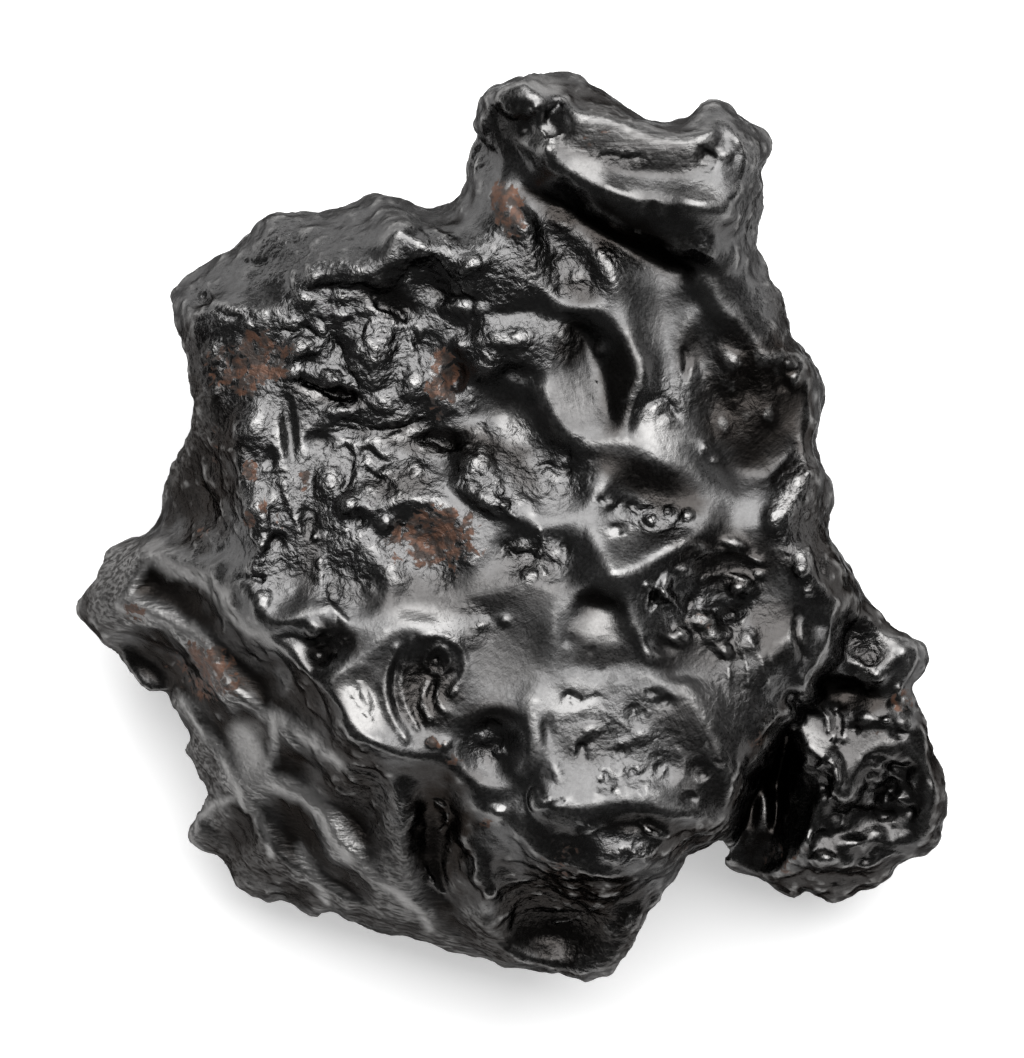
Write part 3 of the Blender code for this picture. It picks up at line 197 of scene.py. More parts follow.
CRESTS = (
    Crest("north_rim", 13, (
        (184, 306, 39), (193, 318, 41), (207, 320, 43), (218, 311, 44), (235, 312, 45), (262, 316, 46),
        (282, 314, 46.5), (298, 308, 47), (310, 296, 48), (314, 282, 48.6), (322, 274, 49.2),
        (338, 270, 49.9), (352, 272, 50.4), (366, 276, 50.6), (380, 270, 51), (390, 258, 51.5),
        (394, 245, 51.8), (398, 232, 52), (408, 238, 52.2), (422, 246, 52.3), (438, 254, 52),
        (450, 262, 51.8), (465, 265, 51.6), (480, 262, 51.6), (490, 248, 51.5))),
    Crest("north_rim_foot", 0, (
        (320, 298, 47), (335, 296, 47.6), (350, 294, 48), (362, 296, 48), (380, 304, 47.6),
        (400, 318, 47.2), (425, 326, 47), (470, 326, 47.2))),
    Crest("north_pit_east_wall", 8, (
        (430, 249, 52), (446, 260, 51.5), (460, 274, 51.5), (472, 290, 51.2), (480, 305, 50))),
    Crest("north_shelf", 0, ((490, 252, 51.5), (505, 262, 51.2), (522, 272, 51), (532, 277, 51))),
    Crest("north_shelf_low", 10, (
        (485, 292, 50), (500, 296, 50.2), (516, 297, 50.2), (530, 292, 50.4), (538, 285, 50.8))),
    Crest("plateau_valley", 0, ((490, 312, 48.8), (510, 314, 48.6), (535, 312, 48.6), (552, 318, 48.6))),
    Crest("plateau", 16, ((490, 342, 49.4), (515, 347, 49.6), (540, 347, 49.5), (555, 342, 49.2))),
    Crest("shoulder_edge", 6, (
        (478, 142, 42.5), (484, 165, 45), (489, 190, 47.5), (484, 210, 48), (491, 222, 50),
        (505, 232, 51), (515, 240, 51), (524, 258, 51), (533, 272, 51))),
    Crest("shoulder", 16, ((500, 190, 50), (512, 212, 51.5), (522, 230, 52), (530, 250, 51.5))),
    Crest("stripe", 10, (
        (528, 206, 49.9), (548, 216, 49.7), (568, 228, 49.7), (588, 240, 49.7), (604, 254, 50))),
    Crest("stripe_trough", 0, ((540, 234, 48.6), (560, 244, 48.4), (582, 258, 48.6))),
    Crest("valley", 0, (
        (520, 188, 50), (550, 200, 49.2), (580, 216, 48.7), (610, 236, 48.2), (640, 252, 47.6),
        (668, 266, 47), (690, 270, 46.8), (706, 272, 46.8))),
    Crest("knob_ridge", 14, (
        (540, 150, 54.6), (556, 163, 55.2), (574, 174, 55.8), (592, 184, 56.1), (612, 193, 56.4),
        (632, 200, 56.4), (652, 203, 56.4), (672, 204, 56.8), (692, 206, 57.2), (708, 210, 57.1))),
    Crest("knob_lumps", 10, (
        (590, 208, 54.4), (615, 222, 54.2), (640, 230, 53.4), (665, 238, 54.2), (690, 248, 54.4),
        (710, 256, 53), (722, 263, 50.5))),
    Crest("knob_north_edge", 6, (
        (572, 118, 55.8), (600, 118, 55.7), (628, 124, 55.5), (648, 130, 55.4), (660, 138, 55.3),
        (680, 142, 55.3), (700, 139, 55.4), (712, 132, 55.4))),
    Crest("knob_dish", 0, ((578, 136, 55.5), (610, 142, 55.2), (650, 150, 55.1), (690, 156, 55.1))),
    Crest("knob_left", 13, (
        (488, 118, 49), (492, 104, 51.5), (504, 97, 53.5), (520, 94, 54.5), (534, 98, 55),
        (541, 108, 55), (542, 125, 53))),
    Crest("knob_left_low", 13, ((490, 140, 47.5), (510, 150, 49), (522, 160, 50))),
    Crest("knob_edge", 5, ((556, 84, 50.5), (562, 97, 53.5), (566, 110, 54.6), (568, 125, 54.8))),
    Crest("knob_right", 14, ((722, 125, 53), (735, 140, 53.5), (742, 160, 53.2), (742, 178, 53))),
    Crest("knob_side", 6, ((737, 192, 54), (742, 210, 50.5), (748, 225, 46.5), (754, 238, 42.5))),
    Crest("right_crest", 10, (
        (692, 263, 50), (700, 275, 50), (709, 290, 49.5), (715, 303, 49), (725, 313, 48.5),
        (739, 318, 48), (747, 328, 47.5), (756, 342, 47), (765, 354, 46.5), (778, 357, 46))),
    Crest("right_rim", 14, (
        (778, 357, 46), (792, 362, 45), (803, 374, 43.8), (807, 390, 42.8), (805, 410, 42.6),
        (802, 432, 42.8), (804, 450, 43.4), (809, 466, 44.6), (813, 478, 45))),
    Crest("east_basin_foot", 12, (
        (622, 437, 49.7), (640, 448, 49.6), (660, 459, 49.3), (680, 468, 48.5), (698, 480, 47.5),
        (712, 492, 46.7), (724, 502, 46.2), (740, 511, 45.8), (756, 516, 45.6), (772, 508, 45.7),
        (786, 496, 45.7), (798, 484, 45.5), (808, 474, 45))),
    Crest("east_basin_west_slope", 0, (
        (712, 312, 47.4), (704, 330, 46.4), (700, 348, 45.8), (700, 368, 45.5), (710, 385, 45),
        (720, 405, 44.2), (724, 425, 44))),
    Crest("north_spur", 6, (
        (622, 300, 50), (623, 318, 50), (627, 335, 50.5), (634, 352, 50.5), (644, 372, 50.5),
        (640, 385, 50.3), (631, 402, 50), (625, 418, 49.8), (622, 433, 49.5))),
    Crest("knob_foot_spur", 8, ((600, 256, 51), (606, 268, 51), (613, 283, 51), (620, 300, 50))),
    Crest("knob_foot_pit_sill", 6, (
        (533, 274, 51), (543, 286, 50.8), (553, 298, 50.6), (563, 308, 50.5), (580, 310, 50.5),
        (598, 309, 50.5), (610, 318, 50.2), (624, 332, 50.3))),
    Crest("north_middle_trough", 0, (
        (566, 320, 47.8), (580, 334, 46), (592, 352, 45.4), (601, 375, 45.8), (607, 400, 46.6),
        (610, 422, 47.8))),
    Crest("north_middle_swell", 14, (
        (556, 334, 49.2), (550, 352, 48.8), (545, 372, 48.8), (548, 395, 49.2), (560, 420, 49.5),
        (577, 438, 49.7), (597, 444, 49.8), (622, 437, 49.7))),
    Crest("east_trough_sill", 9, ((645, 374, 49.8), (660, 380, 47.8), (678, 381, 47.2), (690, 374, 47))),
    Crest("east_trough_bank", 8, ((700, 300, 47), (690, 318, 47.5), (680, 335, 47.3), (676, 352, 47))),
    Crest("star_west", 7, (
        (587, 515, 50), (593, 530, 51), (599, 548, 52), (606, 563, 53.5), (613, 575, 55))),
    Crest("star_east", 8, (
        (613, 575, 55), (628, 573, 54), (642, 566, 53), (655, 557, 52.3), (668, 550, 51.8),
        (684, 543, 51), (694, 538, 50.5))),
    Crest("star_south", 7, (
        (613, 575, 55), (619, 588, 53.5), (622, 602, 53), (630, 620, 52.6), (638, 636, 52.3),
        (645, 650, 52), (655, 664, 52))),
    Crest("star_southwest", 7, ((613, 575, 55), (600, 580, 53.5), (586, 590, 52.5), (570, 602, 52))),
    Crest("star_north_bank", 8, (
        (558, 524, 49.9), (573, 519, 50.3), (587, 515, 50), (594, 500, 50), (602, 485, 50),
        (604, 470, 49.5))),
    Crest("rough_basin_bank", 12, ((694, 538, 49.6), (700, 525, 48.6), (706, 512, 47.6), (716, 506, 47))),
    Crest("rough_basin_brow", 12, (
        (748, 518, 46.4), (764, 532, 46.2), (778, 545, 46), (788, 562, 45.6), (792, 580, 45.2),
        (802, 596, 44.8), (820, 600, 44), (833, 610, 43.2))),
    Crest("rim_ridge", 16, ((800, 490, 45.5), (788, 505, 46.5), (770, 520, 47.5))),
    Crest("rim_knuckle", 16, ((802, 560, 46), (804, 575, 46), (815, 585, 45.5))),
    Crest("edge_knuckle", 13, ((830, 560, 41.5), (845, 580, 40.5), (850, 594, 40))),
    Crest("slab_edge", 4, (
        (851, 582, 39.5), (848, 598, 40.5), (841, 612, 41.5), (838, 630, 41.8), (833, 643, 42),
        (822, 658, 42.4), (812, 672, 43), (808, 686, 43.2), (804, 700, 43.5), (792, 712, 43.6),
        (780, 727, 43.5), (768, 742, 43), (760, 757, 42.5), (750, 770, 42.3), (747, 788, 42),
        (736, 793, 42), (737, 805, 42), (733, 818, 41), (726, 829, 39.5), (715, 836, 38),
        (700, 844, 37))),
    Crest("facet_north_rim", 9, (
        (556, 672, 51), (575, 680, 51), (600, 684, 51), (622, 679, 50.9), (640, 673, 51),
        (655, 677, 50.9), (668, 686, 50.6), (684, 700, 50.2), (700, 722, 49.4), (712, 746, 48.4))),
    Crest("facet_west_rim", 13, (
        (556, 672, 51), (547, 684, 51.2), (538, 695, 51.5), (532, 708, 51.8), (532, 725, 52),
        (533, 745, 52), (530, 762, 51.6), (524, 778, 50.6))),
    Crest("facet_step", 8, (
        (536, 708, 51.8), (555, 711, 51.4), (575, 713, 51.2), (600, 714, 51), (618, 720, 50.9),
        (630, 732, 50.8))),
    Crest("facet_south_rim", 14, (
        (540, 798, 52.2), (560, 804, 52.6), (582, 806, 52.6), (600, 802, 52.4), (622, 798, 52),
        (645, 800, 51.4), (665, 808, 50.6), (690, 814, 49), (715, 820, 46))),
    Crest("facet_east_rim", 16, (
        (682, 688, 50.2), (695, 710, 49.8), (708, 735, 49.2), (722, 765, 48.2), (728, 790, 46.8),
        (726, 812, 44.4))),
    Crest("star_to_facet", 9, (
        (556, 672, 51.1), (556, 650, 51.4), (555, 632, 51.8), (560, 615, 52.1), (570, 602, 52))),
    Crest("middle_rib", 6, (
        (470, 455, 48.9), (480, 462, 49.2), (488, 476, 49.6), (498, 490, 49.9), (505, 500, 49.9))),
    Crest("middle_cross_rib", 13, (
        (505, 500, 49.9), (522, 512, 50.2), (535, 525, 50.4), (548, 525, 50.3), (558, 524, 50.2))),
    Crest("rust_basin_east_rib", 13, (
        (505, 500, 49.9), (500, 520, 49.9), (490, 535, 49.9), (480, 552, 49.9), (476, 570, 49.9))),
    Crest("rust_basin_sill", 13, (
        (396, 588, 48.4), (402, 600, 49), (420, 606, 49.4), (440, 605, 49.6), (460, 601, 49.9),
        (480, 594, 50.3), (500, 588, 50.7), (525, 586, 51), (550, 590, 51.5), (570, 602, 52))),
    Crest("rust_basin_brow", 8, (
        (350, 505, 48.4), (375, 500, 48.9), (400, 502, 49.2), (420, 500, 49.5), (438, 503, 49.5),
        (452, 510, 49.5), (465, 525, 49.5), (468, 545, 49.7), (470, 560, 49.9))),
    Crest("west_basin_sill", 14, (
        (365, 545, 48.8), (380, 560, 49.2), (390, 575, 49.5), (396, 588, 49.7), (392, 604, 50),
        (382, 620, 50.4), (370, 629, 50.5), (352, 626, 50.1), (335, 620, 49.9), (318, 614, 49.6),
        (305, 618, 49.6), (292, 622, 49.2), (275, 621, 48.4), (262, 612, 47.6), (256, 600, 47),
        (253, 590, 46.5))),
    Crest("roll_undercut", 0, ((255, 634, 44.5), (275, 638, 45), (295, 634, 45.5), (305, 628, 46.6))),
    Crest("left_band", 11, (
        (250, 410, 45), (250, 430, 45.6), (243, 450, 45.7), (242, 475, 45.7), (248, 500, 46.2),
        (252, 520, 46.2), (254, 540, 46), (262, 552, 46.2), (256, 566, 46))),
    Crest("left_inner_band", 8, (
        (262, 400, 45.5), (268, 420, 46), (278, 440, 46.5), (285, 460, 46.6), (290, 480, 46.8),
        (294, 500, 46.8), (298, 520, 46.8), (292, 535, 46.5))),
    Crest("left_cliff", 0, (
        (205, 405, 41.5), (215, 425, 42), (222, 450, 42), (230, 478, 42), (236, 498, 42),
        (242, 520, 42), (246, 545, 43))),
    Crest("left_rim", 7, (
        (146, 531, 26), (150, 545, 30), (160, 552, 33), (178, 560, 36), (200, 568, 39),
        (214, 574, 41.4), (224, 590, 43), (234, 608, 44.2), (246, 622, 45.2), (258, 632, 45.8),
        (275, 641, 46.8), (292, 645, 47.6), (300, 662, 48.2), (315, 680, 48.8), (328, 690, 49.6),
        (340, 705, 50.9), (352, 725, 51.6), (366, 740, 51.8), (385, 747, 51.2), (400, 755, 50.6),
        (418, 757, 50), (440, 752, 49.8), (455, 760, 49.4), (466, 775, 48.8))),
    Crest("round_pit_brow", 13, ((305, 628, 48.6), (330, 628, 49.7))),
    Crest("terrace_pit_brow", 14, (
        (328, 690, 50), (335, 675, 50.2), (350, 666, 50.5), (368, 658, 50.7), (378, 645, 50.9),
        (390, 632, 51.1), (405, 626, 51.2), (425, 630, 51.3), (440, 637, 51.2), (452, 643, 51))),
    Crest("terrace_pit_west_rib", 8, (
        (372, 662, 50.4), (381, 676, 50.1), (383, 700, 50), (387, 722, 50.2), (396, 740, 50.4))),
    Crest("terrace_pit_east_rim", 8, (
        (452, 640, 50.4), (462, 655, 50.2), (472, 668, 50.2), (466, 688, 50.1), (452, 700, 49.9),
        (442, 712, 49.9), (425, 727, 49.2))),
    Crest("deep_pit_brow", 13, ((470, 715, 50.1), (480, 708, 50.4), (500, 706, 50.7), (516, 712, 51.1))),
    Crest("deep_pit_west_bank", 16, ((444, 714, 49.9), (462, 712, 49.9), (470, 715, 50.1))),
    Crest("deep_pit_sill", 16, ((466, 778, 48.8), (480, 786, 48.8), (500, 790, 48.8), (524, 780, 49.4))),
    Crest("south_swell", 22, ((475, 800, 47.8), (497, 806, 48.2), (520, 800, 49))),
    Crest("tall_cavity_west_rim", 8, (
        (404, 770, 46), (398, 790, 44.5), (402, 812, 42.5), (398, 830, 40.5), (404, 852, 38),
        (403, 872, 35.5), (413, 892, 32), (430, 908, 28.5), (446, 925, 26), (462, 945, 23))),
    Crest("tall_cavity_east_rim", 10, (
        (467, 785, 47), (468, 805, 46), (476, 822, 45), (472, 840, 43), (480, 858, 42),
        (480, 874, 40.5), (492, 886, 39), (491, 902, 37), (487, 915, 35), (492, 930, 32),
        (500, 945, 29))),
    Crest("south_lip", 8, (
        (500, 948, 29), (515, 957, 28), (540, 968, 27), (570, 973, 26), (598, 966, 27), (616, 948, 29),
        (622, 925, 31), (630, 903, 33), (645, 886, 34.5), (665, 868, 36), (690, 850, 38))),
    Crest("south_cavity_brow", 16, (
        (520, 812, 49.4), (528, 830, 48.8), (540, 845, 48.2), (556, 856, 47.8), (580, 864, 47.8),
        (605, 870, 47.6), (640, 868, 46.6), (665, 858, 45.6))),
    Crest("lobe_top", 8, ((853, 590, 33.4), (866, 605, 33.6), (880, 622, 33.6), (890, 636, 33.4))),
    Crest("lobe_fold", 12, (
        (846, 630, 32.4), (850, 652, 32.8), (860, 668, 33.3), (872, 674, 33.6), (886, 668, 33.4),
        (896, 654, 33.2), (904, 644, 33), (912, 652, 32.5), (908, 666, 32), (900, 680, 31.6),
        (894, 692, 31))),
    Crest("lobe_under", 0, ((818, 684, 29), (840, 696, 29.2), (862, 700, 29.4), (882, 700, 30))),
    Crest("lobe_ledge", 14, (
        (800, 706, 30), (820, 716, 30.2), (845, 724, 30.4), (866, 716, 31), (880, 708, 31.2),
        (905, 704, 30.5))),
    Crest("lobe_nose", 12, (
        (798, 730, 31), (808, 748, 32), (822, 764, 32.6), (834, 780, 32.6), (845, 797, 32),
        (852, 778, 31.4), (862, 760, 31.2), (878, 750, 31.2), (895, 746, 31), (912, 748, 29.5))),
    Crest("lobe_nose_rib", 8, ((806, 768, 29), (815, 762, 30), (822, 770, 29), (832, 800, 28))),
    Crest("lobe_right", 8, (
        (912, 748, 29.5), (924, 765, 28.5), (930, 785, 27.5), (928, 800, 27), (932, 825, 25.5),
        (926, 845, 23.5))),
    Crest("lobe_inner_rib", 8, (
        (800, 850, 25), (808, 838, 26.5), (815, 820, 28), (818, 805, 29), (830, 800, 31))),
    Crest("lobe_foot_rib", 9, (
        (766, 885, 18), (782, 868, 21.5), (795, 858, 24), (808, 856, 25.5), (822, 858, 26),
        (838, 860, 25.5))),
    Crest("lobe_low", 9, (
        (838, 860, 25.5), (862, 866, 24), (880, 864, 23), (895, 856, 22.5), (912, 848, 22))),
    Crest("crevice", 0, ((788, 722, 20), (784, 745, 17), (782, 775, 15), (780, 805, 15), (778, 830, 15))),
    Crest("crevice_west", 0, ((758, 772, 17), (750, 800, 16), (742, 830, 16), (735, 842, 16))),
    Crest("lobe_rib_long", 13, ((762, 790, 19), (768, 810, 20), (768, 835, 19), (766, 850, 17))),
    Crest("lobe_rib_short", 16, ((748, 820, 18.5), (749, 840, 19), (750, 855, 17))),
    Crest("lobe_rib_slanting", 11, (
        (800, 790, 25), (796, 812, 23), (790, 835, 21), (780, 855, 19), (770, 870, 16))),
    Crest("rough_basin_sill", 18, (
        (655, 665, 50.4), (685, 668, 48), (715, 672, 46.9), (742, 668, 46.2), (765, 655, 45.8),
        (788, 640, 45))),
    Crest("knob_dish_low", 0, (
        (566, 150, 55), (590, 160, 54.5), (615, 169, 54.2), (650, 176, 54.2), (690, 178, 54.4),
        (722, 178, 54.8))),
    Crest("south_shelf_trough", 0, ((600, 833, 49.4), (625, 835, 49), (650, 838, 48), (680, 842, 46))),
    Crest("south_shelf", 18, ((605, 850, 49.4), (630, 853, 49.2), (652, 852, 48.2))),
    Crest("east_basin_floor", 0, ((722, 372, 45.8), (742, 395, 45), (758, 420, 43.9), (764, 445, 42.8))),
    Crest("east_basin_low", 0, (
        (716, 455, 44.4), (728, 466, 43.2), (745, 474, 42.4), (765, 475, 42), (782, 464, 41.8),
        (793, 448, 41.8))),
    Crest("knob_corner", 12, ((708, 210, 57.1), (722, 213, 56.4), (731, 204, 55.6), (737, 192, 54.8))),
    Crest("flank_shelf", 6, ((150, 553, 31.5), (140, 570, 30.5), (128, 588, 29.5), (116, 606, 28.5))),
    Crest("flank_upper_rib", 9, (
        (116, 606, 28.5), (134, 606, 30), (152, 614, 31.5), (172, 626, 33), (192, 637, 34.5),
        (205, 650, 35.5), (212, 668, 36.2), (224, 684, 36.8), (240, 698, 37), (256, 708, 36.6),
        (268, 722, 36), (274, 740, 35), (270, 760, 33), (274, 776, 32), (290, 788, 32.5))),
    Crest("flank_middle_rib", 10, (
        (262, 712, 36.4), (280, 716, 38.6), (296, 728, 40), (312, 742, 41), (330, 758, 42),
        (350, 768, 43))),
    Crest("flank_outer_rib", 9, (
        (178, 700, 24.5), (188, 714, 25.5), (200, 732, 26), (214, 746, 26.4), (225, 760, 27),
        (230, 780, 27), (242, 800, 26.8), (256, 816, 26.4), (266, 836, 26), (274, 856, 25))),
    Crest("flank_long_rib", 11, (
        (240, 786, 28), (265, 780, 30.5), (290, 788, 32.5), (312, 800, 33.5), (326, 816, 34),
        (336, 836, 34), (348, 852, 33.6), (366, 868, 32.6), (385, 884, 31.6), (405, 898, 31),
        (425, 915, 29))),
    Crest("flank_low_rib", 9, (
        (274, 856, 25), (290, 868, 25), (308, 880, 25), (326, 892, 25), (350, 905, 25),
        (380, 915, 24.5), (420, 930, 24.5), (455, 940, 24.5))),
    Crest("dish_edge", 7, ((200, 824, 16), (206, 811, 18), (222, 801, 21), (240, 800, 25))),
    Crest("star_south_trough", 0, (
        (576, 601, 50.5), (590, 604, 50.2), (606, 607, 50.2), (617, 613, 50.5))),
    Crest("star_south_swell", 18, (
        (562, 624, 51.5), (580, 633, 51.4), (600, 639, 51.3), (620, 643, 51.2), (634, 650, 51))),
    Crest("facet_foot", 0, (
        (562, 662, 50.7), (580, 668, 50.5), (604, 671, 50.4), (622, 667, 50.4), (638, 661, 50.5))),
    Crest("east_shelf_floor", 0, (
        (640, 402, 48.4), (655, 407, 47.7), (672, 408, 47.3), (690, 402, 46.9))),
    Crest("lobe_fold_floor", 0, ((854, 652, 31.7), (866, 659, 31.7), (880, 656, 31.9), (888, 646, 32.2))),
)

HOLLOWS = (
    Hollow("corner_pit", 205, 302, 13, 13, 1.2),
    Hollow("north_pit", 428, 286, 30, 34, 1.8),
    Hollow("knob_foot_pit", 572, 283, 28, 27, 1.3),
    Hollow("knob_notch", 553, 118, 13, 20, 2),
    Hollow("east_trough", 662, 335, 26, 44, 1.25),
    Hollow("north_middle", 512, 415, 28, 34, 1.7),
    Hollow("middle", 553, 480, 42, 42, 2),
    Hollow("middle_south", 540, 556, 42, 30, 2),
    Hollow("rust_basin", 425, 545, 44, 42, 2),
    Hollow("rust_band", 475, 495, 26, 26, 0.4),
    Hollow("west_basin", 352, 590, 30, 32, 1.3),
    Hollow("roll_pit", 282, 592, 26, 30, 1),
    Hollow("round_pit", 318, 652, 22, 24, 2.56),
    Hollow("bright_wall", 364, 704, 14, 30, 0.4, -20),
    Hollow("terrace_pit", 430, 684, 36, 46, 1.5, 10),
    Hollow("smooth_pit", 505, 655, 42, 44, 0.7),
    Hollow("deep_pit", 496, 742, 27, 32, 2.38),
    Hollow("star_north_pit", 642, 515, 46, 30, 1.6, 20),
    Hollow("rough_basin", 712, 590, 60, 48, 1.6, 20),
    Hollow("rim_patch", 810, 640, 30, 36, 0.8),
    Hollow("facet", 585, 755, 40, 36, 0.5),
    Hollow("facet_ring", 665, 765, 30, 30, 0.5),
    Hollow("tall_cavity", 440, 835, 26, 58, 3.6),
    Hollow("south_cavity", 550, 905, 50, 50, 6.5, -10),
    Hollow("south_shelf", 620, 850, 44, 24, 0.75, -20),
    Hollow("west_middle", 330, 480, 26, 34, 0.7),
    Hollow("west_face", 200, 520, 36, 34, 1.98),
    Hollow("dark_step", 440, 452, 34, 16, 0.8, 10),
    Hollow("lobe_bowl", 892, 790, 30, 34, 2.4),
    Hollow("lobe_plain", 832, 740, 26, 20, 0.8),
    Hollow("lobe_low_pit", 850, 878, 30, 9, 1, -8),
    Hollow("lobe_nose_pit", 828, 785, 8, 18, 1.26),
    Hollow("flank_slot", 188, 597, 62, 21, 2.24, 33),
    Hollow("flank_oval", 240, 668, 43, 28, 2.94, 45),
    Hollow("flank_gully", 302, 698, 36, 50, 2.72, -25),
    Hollow("flank_step", 296, 764, 24, 25, 1.82),
    Hollow("flank_deep", 350, 800, 55, 48, 3, 30),
    Hollow("flank_round", 208, 722, 24, 21, 1.68, 45),
    Hollow("flank_wide", 246, 740, 24, 26, 1),
    Hollow("flank_brown", 160, 668, 56, 24, 4, 28),
    Hollow("flank_short", 140, 590, 20, 10, 0.9, -50),
    Hollow("flank_slit", 290, 838, 26, 42, 2.6, -35),
    Hollow("flank_pit", 374, 842, 41, 42, 2.8, -20),
    Hollow("lower_dish", 225, 852, 36, 38, 2.4),
    Hollow("lower_slot", 345, 890, 30, 12, 2, 30),
    Hollow("lower_dark", 300, 895, 28, 16, 2.2, 20),
    Hollow("lobe_dip", 848, 812, 20, 10, 1.2),
)

